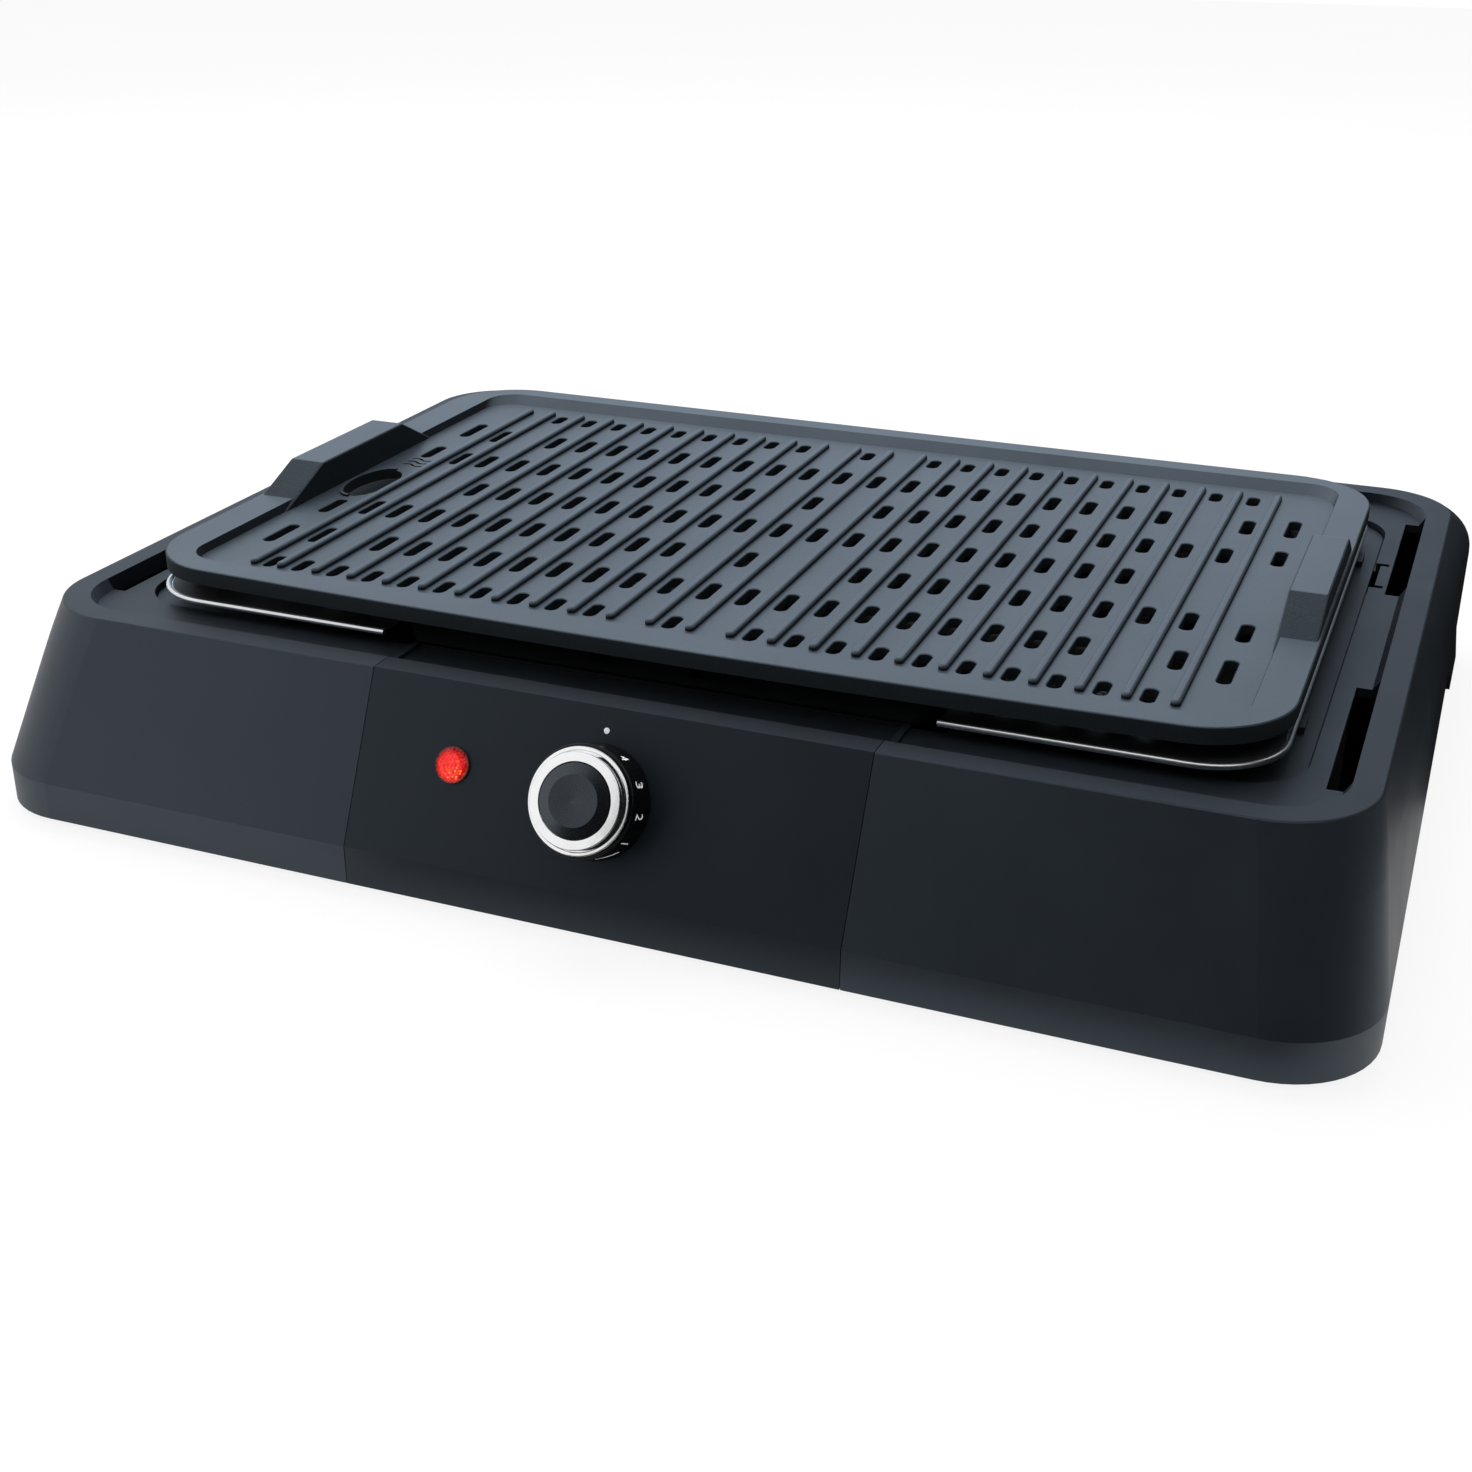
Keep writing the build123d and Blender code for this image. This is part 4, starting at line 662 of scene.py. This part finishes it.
class Look(Enum):
    """Finishes that the pieces wear."""

    HOUSING = Moulded("charcoal_moulding", (0.0040, 0.0051, 0.0078), (0.0058, 0.0074, 0.0110), (0.47, 0.57),
                      0.76, grain=2400.0, depth=0.000012, tint=(0.66, 0.83, 1.0))
    PANEL = Moulded("charcoal_panel", (0.0036, 0.0047, 0.0070), (0.0054, 0.0070, 0.0102), (0.46, 0.56),
                    0.46, grain=2400.0, depth=0.000012, tint=(0.66, 0.83, 1.0))
    BRIDGE = Moulded("black_bridge", (0.0022, 0.0028, 0.0036), (0.0038, 0.0046, 0.0056), (0.30, 0.40),
                     0.30, grain=2200.0, depth=0.000008)
    FLOOR = Moulded("black_floor", (0.010, 0.011, 0.012), (0.016, 0.017, 0.019), (0.45, 0.58),
                    0.4, grain=1700.0, depth=0.00002)
    INNER_PLASTIC = Moulded("inner_moulding", (0.030, 0.030, 0.031), (0.048, 0.048, 0.049), (0.45, 0.6),
                            0.4, grain=1500.0, depth=0.00002)
    FEET = Moulded("foot_rubber", (0.010, 0.010, 0.010), (0.020, 0.020, 0.020), (0.65, 0.85),
                   0.3, grain=1300.0, depth=0.00003)
    GLAND = Moulded("gland_rubber", (0.009, 0.009, 0.009), (0.018, 0.018, 0.018), (0.6, 0.8),
                    0.3, grain=1300.0, depth=0.00003)
    LEADS = Moulded("lead_sleeve", (0.20, 0.035, 0.028), (0.30, 0.06, 0.05), (0.4, 0.55),
                    0.4, grain=2600.0, depth=0.00002)
    SCREWS = Plated("zinc_screw", (0.45, 0.45, 0.46), (0.60, 0.60, 0.61), (0.22, 0.38),
                    metal=1.0, grain=2500.0, depth=0.000006)
    TRAY = TraySheet("bright_tray", (0.62, 0.65, 0.67), (0.80, 0.82, 0.84), (0.24, 0.32),
                     metal=1.0, grain=900.0, depth=0.000003)
    STEEL = SheetMetal("strap_steel", (0.50, 0.50, 0.50), (0.66, 0.66, 0.66), (0.22, 0.36),
                       metal=1.0, grain=1200.0, depth=0.000005)
    ELEMENT = Fired("heated_sheath", (0.055, 0.050, 0.046), (0.14, 0.13, 0.12), (0.38, 0.58),
                    metal=0.7, grain=1800.0, depth=0.00001)
    TERMINALS = Plated("terminal_brass", (0.55, 0.44, 0.22), (0.72, 0.60, 0.34), (0.2, 0.34),
                       metal=1.0, grain=1800.0, depth=0.000006)
    THERMOSTAT = SheetMetal("thermostat_case", (0.40, 0.40, 0.385), (0.54, 0.54, 0.52), (0.28, 0.42),
                            metal=1.0, grain=1000.0, depth=0.000006)
    SHAFT = SheetMetal("turned_shaft", (0.48, 0.48, 0.48), (0.64, 0.64, 0.64), (0.18, 0.3),
                       metal=1.0, grain=2200.0, depth=0.000005)
    CERAMIC = Fired("ceramic_block", (0.58, 0.56, 0.51), (0.70, 0.68, 0.63), (0.45, 0.6),
                    0.4, grain=1500.0, depth=0.00001)
    LENS = Jewel("red_lens", (0.72, 0.008, 0.006), (0.95, 0.060, 0.014), (0.05, 0.12),
                 grain=900.0, depth=0.0003, coat=0.1)
    KNOB_BLACK = Moulded("knob_black", (0.0014, 0.0016, 0.0020), (0.0024, 0.0027, 0.0032), (0.24, 0.32),
                         0.35, grain=3000.0, depth=0.000005)
    KNOB_CAP = Moulded("knob_cap", (0.0030, 0.0036, 0.0046), (0.0046, 0.0054, 0.0068), (0.22, 0.30),
                       0.9, grain=3000.0, depth=0.000005, tint=(0.76, 0.88, 1.0))
    KNOB_BRIGHT = Plated("knob_chrome", (0.84, 0.85, 0.86), (0.93, 0.93, 0.935), (0.05, 0.11),
                         metal=1.0, grain=1500.0, depth=0.000002)
    PLATE = CoatedCasting("coated_casting", (0.028, 0.037, 0.048), (0.044, 0.057, 0.072), (0.34, 0.44),
                          0.52, grain=1700.0, depth=0.00003, tint=(0.72, 0.89, 1.0))
    PRINT = Moulded("white_print", (0.84, 0.85, 0.86), (0.92, 0.93, 0.94), (0.45, 0.55),
                    0.4, grain=4000.0, depth=0.000002)


class Wardrobe:
    """Keeps one material for each finish."""

    def __init__(self) -> None:
        """Start with no materials made."""
        self._made: dict[Look, bpy.types.Material] = {}

    def material(self, look: Look) -> bpy.types.Material:
        """Material of a finish, made on first use.

        Args:
            look: The finish.

        Returns:
            The material.
        """
        if look not in self._made:
            self._made[look] = look.value.build()
        return self._made[look]

    def dress(self, piece: bpy.types.Object, look: Look) -> None:
        """Put a finish on a piece.

        Args:
            piece: Piece to dress.
            look: The finish.
        """
        if not piece.material_slots:
            piece.data.materials.append(self.material(look))
        for place in piece.material_slots:
            place.material = self.material(look)


def linked(name: str, mesh: bpy.types.Mesh) -> bpy.types.Object:
    """Put a mesh in the scene.

    Args:
        name: Name of the object.
        mesh: Its mesh.

    Returns:
        The object.
    """
    thing = bpy.data.objects.new(name, mesh)
    bpy.context.scene.collection.objects.link(thing)
    return thing


def quad(name: str, corners: Sequence[Point]) -> bpy.types.Object:
    """Make a flat sheet with four corners.

    Args:
        name: Name of the object.
        corners: Its corners in order.

    Returns:
        The object.
    """
    mesh = bpy.data.meshes.new(name)
    mesh.from_pydata(list(corners), [], [(0, 1, 2, 3)])
    return linked(name, mesh)


def closed(name: str, mesh: bpy.types.Mesh) -> bpy.types.Object:
    """Make a piece of a mesh, with its points joined and its faces turned outwards.

    Args:
        name: Name of the piece.
        mesh: Its mesh.

    Returns:
        The piece.
    """
    shape = bmesh.new()
    shape.from_mesh(mesh)
    bmesh.ops.remove_doubles(shape, verts=shape.verts, dist=JOIN_DISTANCE)
    bmesh.ops.recalc_face_normals(shape, faces=shape.faces)
    shape.to_mesh(mesh)
    shape.free()
    return linked(name, mesh)


def sleeve(name: str, rings: Sequence[Sequence[Vector]]) -> bpy.types.Object:
    """Make a piece that runs from ring to ring, with a flat face at both ends.

    Args:
        name: Name of the piece.
        rings: Points of each ring, as many in each.

    Returns:
        The piece.
    """
    count = len(rings[0])
    faces: list[tuple[int, ...]] = []
    for first in range(0, count * (len(rings) - 1), count):
        for side in range(count):
            a, b = first + side, first + (side + 1) % count
            faces.append((a, b, b + count, a + count))
    last = count * (len(rings) - 1)
    faces += [tuple(range(last, last + count)), tuple(reversed(range(count)))]
    mesh = bpy.data.meshes.new(name)
    mesh.from_pydata([point for ring in rings for point in ring], [], faces)
    return closed(name, mesh)


@dataclass(frozen=True)
class Lamp:
    """A soft light.

    Attributes:
        name: Name of the light.
        place: Middle of the light.
        size: Width and height.
        power: Power in watts.
        target: Point that it faces.
    """

    name: str
    place: Point
    size: Pair
    power: float
    target: Point = (0.0, 0.0, 0.05)

    def hang(self) -> None:
        """Hang the light where it lights the griddle and isn't mirrored in it."""
        data = bpy.data.lights.new(self.name, "AREA")
        data.shape = "RECTANGLE"
        data.size, data.size_y = self.size
        data.energy = self.power
        lamp = bpy.data.objects.new(self.name, data)
        away = Vector(self.target) - Vector(self.place)
        turn = away.to_track_quat("-Z", "Y").to_matrix().to_4x4()
        lamp.matrix_world = Matrix.Translation(self.place) @ turn
        lamp.visible_glossy = False
        bpy.context.scene.collection.objects.link(lamp)


@dataclass(frozen=True)
class Card:
    """A card that only the griddle's gloss sees, to shape its reflections.

    Attributes:
        name: Name of the card.
        corners: Its four corners.
        glow: Colour that the card shows.
        uneven: Shares of that colour between which the card varies.
        cloud: Repeats of the unevenness in a metre.
    """

    name: str
    corners: Sequence[Point]
    glow: Colour = (0.01, 0.01, 0.01)
    uneven: Pair = (0.92, 1.08)
    cloud: float = 1.5

    def stand(self) -> None:
        """Stand the card in its place."""
        card = quad(self.name, self.corners)
        graph = Graph(self.name)
        low, high = (tuple(part * share for part in self.glow) for share in self.uneven)
        graph.set(Base_Color=(0.0, 0.0, 0.0, 1.0), Roughness=1.0, Specular_IOR_Level=0.0,
                  Emission_Strength=1.0)
        graph.feed("Emission Color", graph.ramp(graph.noise(self.cloud), NOISE_SPAN, (low, high)))
        card.data.materials.append(graph.material)
        card.visible_camera = False
        card.visible_diffuse = False
        card.visible_shadow = False
        card.visible_transmission = False


@dataclass
class Studio:
    """Camera, floor, lights and white surroundings.

    Attributes:
        azimuth: Turn of the camera round the griddle in degrees.
        elevation: Height of the camera above the horizon in degrees.
        distance: Distance of the camera from the point it looks at.
        target: Point that the camera looks at.
        lens: Focal length in millimetres.
        sensor: Width of the sensor in millimetres.
        nearest: Nearest distance that the camera shows.
        floor_half: Half the width of the floor.
        floor_tones: Darkest and lightest grey of the floor.
        floor_cloud: Repeats of the floor's unevenness in a metre.
        floor_rough: Roughness of the floor.
        floor_gloss: Specular level of the floor.
        floor_glow: Share of plain white in what is seen of the floor.
        ambient: Strength of the even light from all round.
        lamps: Soft lights.
        cards: Cards that shape the reflections.
    """

    azimuth: float = 22.24
    elevation: float = 25.073
    distance: float = 0.84898
    target: Point = (-0.01204, -0.03149, 0.002)
    lens: float = 47.70
    sensor: float = 36.0
    nearest: float = 0.01
    floor_half: float = 4.0
    floor_tones: Pair = (0.80, 0.83)
    floor_cloud: float = 6.0
    floor_rough: float = 0.9
    floor_gloss: float = 0.1
    floor_glow: float = 0.86
    ambient: float = 0.80
    lamps: Sequence[Lamp] = (
        Lamp("soft_left", (-1.5, 0.3, 1.2), (1.2, 1.2), 14.0),
        Lamp("soft_top", (-0.4, 0.8, 1.7), (1.6, 1.2), 34.0),
    )
    cards: Sequence[Card] = (
        Card("dark_front", ((-0.8, -2.0, 0.0), (2.4, -2.0, 0.0), (2.4, -2.0, 2.3), (-0.8, -2.0, 2.3))),
        Card("dark_right", ((2.4, -2.0, 0.0), (2.4, 2.6, 0.0), (2.4, 2.6, 2.3), (2.4, -2.0, 2.3))),
        Card("dark_top", ((-1.4, -2.0, 2.3), (2.4, -2.0, 2.3), (2.4, 1.3, 2.3), (-1.4, 1.3, 2.3))),
        Card("strip_top", ((-1.3, -1.7, 2.2), (2.2, -1.7, 2.2), (2.2, 0.1, 2.2), (-1.3, 0.1, 2.2)),
             (1.0, 1.0, 1.0)),
        Card("cool_rear", ((-3.2, 2.6, 0.0), (0.3, 2.6, 0.0), (0.3, 2.6, 2.3), (-3.2, 2.6, 2.3)),
             (0.78, 0.92, 1.09)),
        Card("dim_rear", ((0.3, 2.6, 0.0), (2.4, 2.6, 0.0), (2.4, 2.6, 2.3), (0.3, 2.6, 2.3)),
             (0.10, 0.12, 0.14)),
        Card("dark_floor_front", ((-0.1, -0.225, 0.0006), (1.6, -0.225, 0.0006),
                                  (2.0, -1.9, 0.0006), (-0.7, -1.9, 0.0006))),
        Card("dark_floor_right", ((0.27, 0.02, 0.0006), (1.8, -0.1, 0.0006),
                                  (1.8, 1.8, 0.0006), (0.1, 1.8, 0.0006))),
    )

    def build(self) -> None:
        """Make everything of the studio."""
        self._view()
        self._floor()
        self._world()
        for lamp in self.lamps:
            lamp.hang()
        for card in self.cards:
            card.stand()
        bpy.context.scene.view_settings.view_transform = "Standard"

    def _view(self) -> None:
        """Place the camera at the photograph's angle."""
        turn, rise = math.radians(self.azimuth), math.radians(self.elevation)
        back = Vector((math.sin(turn) * math.cos(rise), -math.cos(turn) * math.cos(rise), math.sin(rise)))
        data = bpy.data.cameras.new("camera")
        data.lens = self.lens
        data.sensor_width = self.sensor
        data.sensor_fit = "HORIZONTAL"
        data.clip_start = self.nearest
        camera = bpy.data.objects.new("camera", data)
        camera.location = Vector(self.target) + back * self.distance
        camera.rotation_euler = (-back).to_track_quat("-Z", "Y").to_euler()
        bpy.context.scene.collection.objects.link(camera)
        bpy.context.scene.camera = camera

    @staticmethod
    def _seen(tree: bpy.types.NodeTree) -> Socket:
        """Value that is 1 for what the camera, a reflection or clear plastic shows.

        Args:
            tree: Node tree to add to.

        Returns:
            Socket of the value.
        """
        path = tree.nodes.new("ShaderNodeLightPath")
        seen = path.outputs["Is Camera Ray"]
        for name in ("Is Glossy Ray", "Is Transmission Ray"):
            either = tree.nodes.new("ShaderNodeMath")
            either.operation = Sum.LARGER.value
            tree.links.new(seen, either.inputs[0])
            tree.links.new(path.outputs[name], either.inputs[1])
            seen = either.outputs[0]
        return seen

    def _floor(self) -> None:
        """Lay the pale floor, which is mostly plain white to the camera and keeps the shadow."""
        half = self.floor_half
        floor = quad("studio_floor", ((-half, -half, 0.0), (half, -half, 0.0),
                                      (half, half, 0.0), (-half, half, 0.0)))
        graph = Graph("studio_paper")
        low, high = ((tone, tone, tone) for tone in self.floor_tones)
        graph.feed("Base Color", graph.ramp(graph.noise(self.floor_cloud), NOISE_SPAN, (low, high)))
        graph.set(Roughness=self.floor_rough, Specular_IOR_Level=self.floor_gloss)
        glow = graph.add("ShaderNodeEmission")
        glow.inputs["Color"].default_value = (1.0, 1.0, 1.0, 1.0)
        glow.inputs["Strength"].default_value = 1.0
        mix = graph.add("ShaderNodeMixShader")
        graph.join(graph.calc(Sum.MULTIPLY, self._seen(graph.tree), self.floor_glow), mix.inputs[0])
        graph.join(graph.shader.outputs["BSDF"], mix.inputs[1])
        graph.join(glow.outputs["Emission"], mix.inputs[2])
        graph.join(mix.outputs["Shader"], graph.tree.nodes["Material Output"].inputs["Surface"])
        floor.data.materials.append(graph.material)

    def _world(self) -> None:
        """White surroundings for what is seen, and a lower even light on the griddle."""
        world = bpy.data.worlds.new("studio_world")
        world.use_nodes = True
        bpy.context.scene.world = world
        tree = world.node_tree
        ground = tree.nodes["Background"]
        ground.inputs["Color"].default_value = (1.0, 1.0, 1.0, 1.0)
        level = tree.nodes.new("ShaderNodeMapRange")
        level.inputs["To Min"].default_value = self.ambient
        level.inputs["To Max"].default_value = 1.0
        tree.links.new(self._seen(tree), level.inputs["Value"])
        tree.links.new(level.outputs["Result"], ground.inputs["Strength"])


@dataclass
class SubAssembly:
    """Pieces that move together.

    Attributes:
        wardrobe: Materials to dress them in.
        body: Name of the body that they move with.
        looks: Finish of each modelled piece.
    """

    wardrobe: Wardrobe
    body: str = ""
    looks: dict[str, Look] = field(default_factory=dict)

    def build(self) -> list[bpy.types.Object]:
        """Dress the modelled pieces, then make the printed marks.

        Returns:
            The pieces and the marks.
        """
        pieces = [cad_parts[name] for name in self.looks]
        for piece, look in zip(pieces, self.looks.values()):
            self.wardrobe.dress(piece, look)
        return pieces + self.marks()

    def marks(self) -> list[bpy.types.Object]:
        """Printed marks, which most sub-assemblies don't have."""
        return []


@dataclass
class Base(SubAssembly):
    """Housing with its floor, feet and screws, which stands on the table."""

    body: str = "base"
    looks: dict[str, Look] = field(default_factory=lambda: {
        "base_housing": Look.HOUSING,
        "base_floor": Look.FLOOR,
        "rubber_feet": Look.FEET,
        "floor_screws": Look.SCREWS,
    })


@dataclass
class DripTray(SubAssembly):
    """Tray that lifts out of the housing."""

    body: str = "tray"
    looks: dict[str, Look] = field(default_factory=lambda: {"drip_tray": Look.TRAY})


@dataclass
class HeaterUnit(SubAssembly):
    """Control panel, element and what is inside, with the white dot that the dial is read against.

    Attributes:
        dot_place: Middle of the dot on the panel.
        dot_rings: Radius and height of each ring of its shallow dome.
        dot_sides: Number of points round a ring.
    """

    body: str = "heater"
    looks: dict[str, Look] = field(default_factory=lambda: {
        "control_panel": Look.PANEL,
        "control_cover": Look.INNER_PLASTIC,
        "bridge_cover": Look.BRIDGE,
        "heating_element": Look.ELEMENT,
        "element_terminals": Look.TERMINALS,
        "element_flange": Look.STEEL,
        "element_brackets": Look.STEEL,
        "thermostat_body": Look.THERMOSTAT,
        "thermostat_screws": Look.SCREWS,
        "pilot_lamp_lens": Look.LENS,
        "lamp_holder": Look.INNER_PLASTIC,
        "lamp_clip": Look.STEEL,
        "terminal_block": Look.CERAMIC,
        "cord_gland": Look.GLAND,
        "thermal_fuse": Look.CERAMIC,
        "internal_leads": Look.LEADS,
        "cover_screws": Look.SCREWS,
        "bridge_screws": Look.SCREWS,
        "flange_screws": Look.SCREWS,
    })
    dot_place: Point = (-0.0005, -0.18066, 0.07068)
    dot_rings: tuple[Pair, ...] = ((0.00112, -0.00008), (0.00112, 0.00003), (0.00092, 0.00008),
                                   (0.00050, 0.00011))
    dot_sides: int = 28

    def marks(self) -> list[bpy.types.Object]:
        """Make the dot and dress it.

        Returns:
            The dot, in a list.
        """
        turns = [2.0 * math.pi * side / self.dot_sides for side in range(self.dot_sides)]
        around = [PANEL_RIGHT * math.cos(turn) + PANEL_UP * math.sin(turn) for turn in turns]
        middle = Vector(self.dot_place)
        dot = sleeve("index_dot", [[middle + PANEL_OUT * height + away * radius for away in around]
                                   for radius, height in self.dot_rings])
        self.wardrobe.dress(dot, Look.PRINT)
        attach(dot, "heater")
        return [dot]


@dataclass
class Knob(SubAssembly):
    """Knob on its shaft, with white numbers and a tapered stroke printed round the side of its skirt.

    Attributes:
        middle: Middle of the knob on the panel.
        skirt_foot: Radius of the skirt's foot and its height above the panel.
        skirt_top: Radius of the skirt's top and its height above the panel.
        numbers: Each number and its clock angle in degrees.
        number_size: Width and height of a number.
        number_mid: Height of a number's middle above the panel.
        narrow: The number that is narrower than the others.
        full_width: Width of the other numbers in the font's own units.
        curve_steps: Steps in each curve of a number's outline.
        ink: Half the thickness of the print.
        stroke: Clock angle in degrees, height and half width at both ends of the stroke.
        stroke_steps: Number of steps along the stroke.
    """

    body: str = "knob"
    looks: dict[str, Look] = field(default_factory=lambda: {
        "thermostat_shaft": Look.SHAFT,
        "knob_skirt": Look.KNOB_BLACK,
        "knob_ring": Look.KNOB_BRIGHT,
        "knob_cap": Look.KNOB_CAP,
    })
    middle: Point = (0.0, -0.191925, 0.0478)
    skirt_foot: Pair = (0.0210, 0.0005)
    skirt_top: Pair = (0.0203, 0.0140)
    numbers: tuple[tuple[str, float], ...] = (("4", 33.0), ("3", 64.0), ("2", 95.5), ("1", 125.5))
    number_size: Pair = (0.0025, 0.0052)
    number_mid: float = 0.0078
    narrow: str = "1"
    full_width: float = 0.5
    curve_steps: int = 6
    ink: float = 0.00004
    stroke: tuple[Point, Point] = ((138.0, 0.0050, 0.00048), (159.0, 0.0092, 0.00012))
    stroke_steps: int = 16

    def marks(self) -> list[bpy.types.Object]:
        """Make the numbers and the stroke and dress them.

        Returns:
            The marks.
        """
        pieces = [self._number(text, clock) for text, clock in self.numbers]
        pieces.append(self._stroke())
        for piece in pieces:
            self.wardrobe.dress(piece, Look.PRINT)
            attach(piece, "knob")
        return pieces

    def _on_skirt(self, clock: float, height: float, lift: float) -> Vector:
        """Point on the skirt's side.

        Args:
            clock: Clock angle in radians.
            height: Height above the panel.
            lift: Distance out of the surface.

        Returns:
            The point.
        """
        (low_radius, foot), (high_radius, top) = self.skirt_foot, self.skirt_top
        share = (height - foot) / (top - foot)
        radius = low_radius + (high_radius - low_radius) * share + lift
        away = PANEL_RIGHT * math.sin(clock) + PANEL_UP * math.cos(clock)
        return Vector(self.middle) + PANEL_OUT * height + away * radius

    def _outline(self, text: str) -> bpy.types.Mesh:
        """Mesh of a number, flat and as thick as the print.

        Args:
            text: The number.

        Returns:
            The mesh.
        """
        curve = bpy.data.curves.new("number_outline", "FONT")
        curve.body = text
        curve.extrude = self.ink
        curve.resolution_u = self.curve_steps
        shape = bpy.data.objects.new("number_outline", curve)
        bpy.context.scene.collection.objects.link(shape)
        flat = shape.evaluated_get(bpy.context.evaluated_depsgraph_get())
        mesh = bpy.data.meshes.new_from_object(flat)
        bpy.data.objects.remove(shape)
        bpy.data.curves.remove(curve)
        return mesh

    def _number(self, text: str, clock: float) -> bpy.types.Object:
        """One number, laid round the skirt with its head towards the panel.

        Args:
            text: The number.
            clock: Clock angle in degrees.

        Returns:
            The piece.
        """
        mesh = self._outline(text)
        left, right = (pick(vertex.co.x for vertex in mesh.vertices) for pick in (min, max))
        low, high = (pick(vertex.co.y for vertex in mesh.vertices) for pick in (min, max))
        width, height = self.number_size
        if text == self.narrow:
            width *= (right - left) / self.full_width
        for vertex in mesh.vertices:
            across = ((vertex.co.x - left) / (right - left) - 0.5) * width
            rise = ((vertex.co.y - low) / (high - low) - 0.5) * height
            turn = math.radians(clock) + across / self.skirt_foot[0]
            vertex.co = self._on_skirt(turn, self.number_mid - rise, vertex.co.z)
        return closed(f"dial_number_{text}", mesh)

    def _stroke(self) -> bpy.types.Object:
        """Tapered stroke that follows the skirt below the numbers.

        Returns:
            The piece.
        """
        start, end = self.stroke
        rings = []
        for step in range(self.stroke_steps + 1):
            share = step / self.stroke_steps
            clock, rise, half = (first + (last - first) * share for first, last in zip(start, end))
            rings.append([self._on_skirt(math.radians(clock), rise + side * half, lift * self.ink)
                          for side, lift in ((-1, -1), (1, -1), (1, 1), (-1, 1))])
        return sleeve("dial_stroke", rings)


@dataclass
class GrillPlate(SubAssembly):
    """Ribbed plate that lifts off."""

    body: str = "plate"
    looks: dict[str, Look] = field(default_factory=lambda: {"grill_plate": Look.PLATE})


def main() -> None:
    """Build the griddle's looks in order and report each piece."""
    logging.basicConfig(level=logging.INFO, format="%(name)s: %(message)s")
    Studio().build()
    wardrobe = Wardrobe()
    for kind in (Base, DripTray, Knob, HeaterUnit, GrillPlate):
        unit = kind(wardrobe)
        for piece in unit.build():
            LOG.info("%s on %s", piece.name, unit.body)


if __name__ == "__main__":
    main()
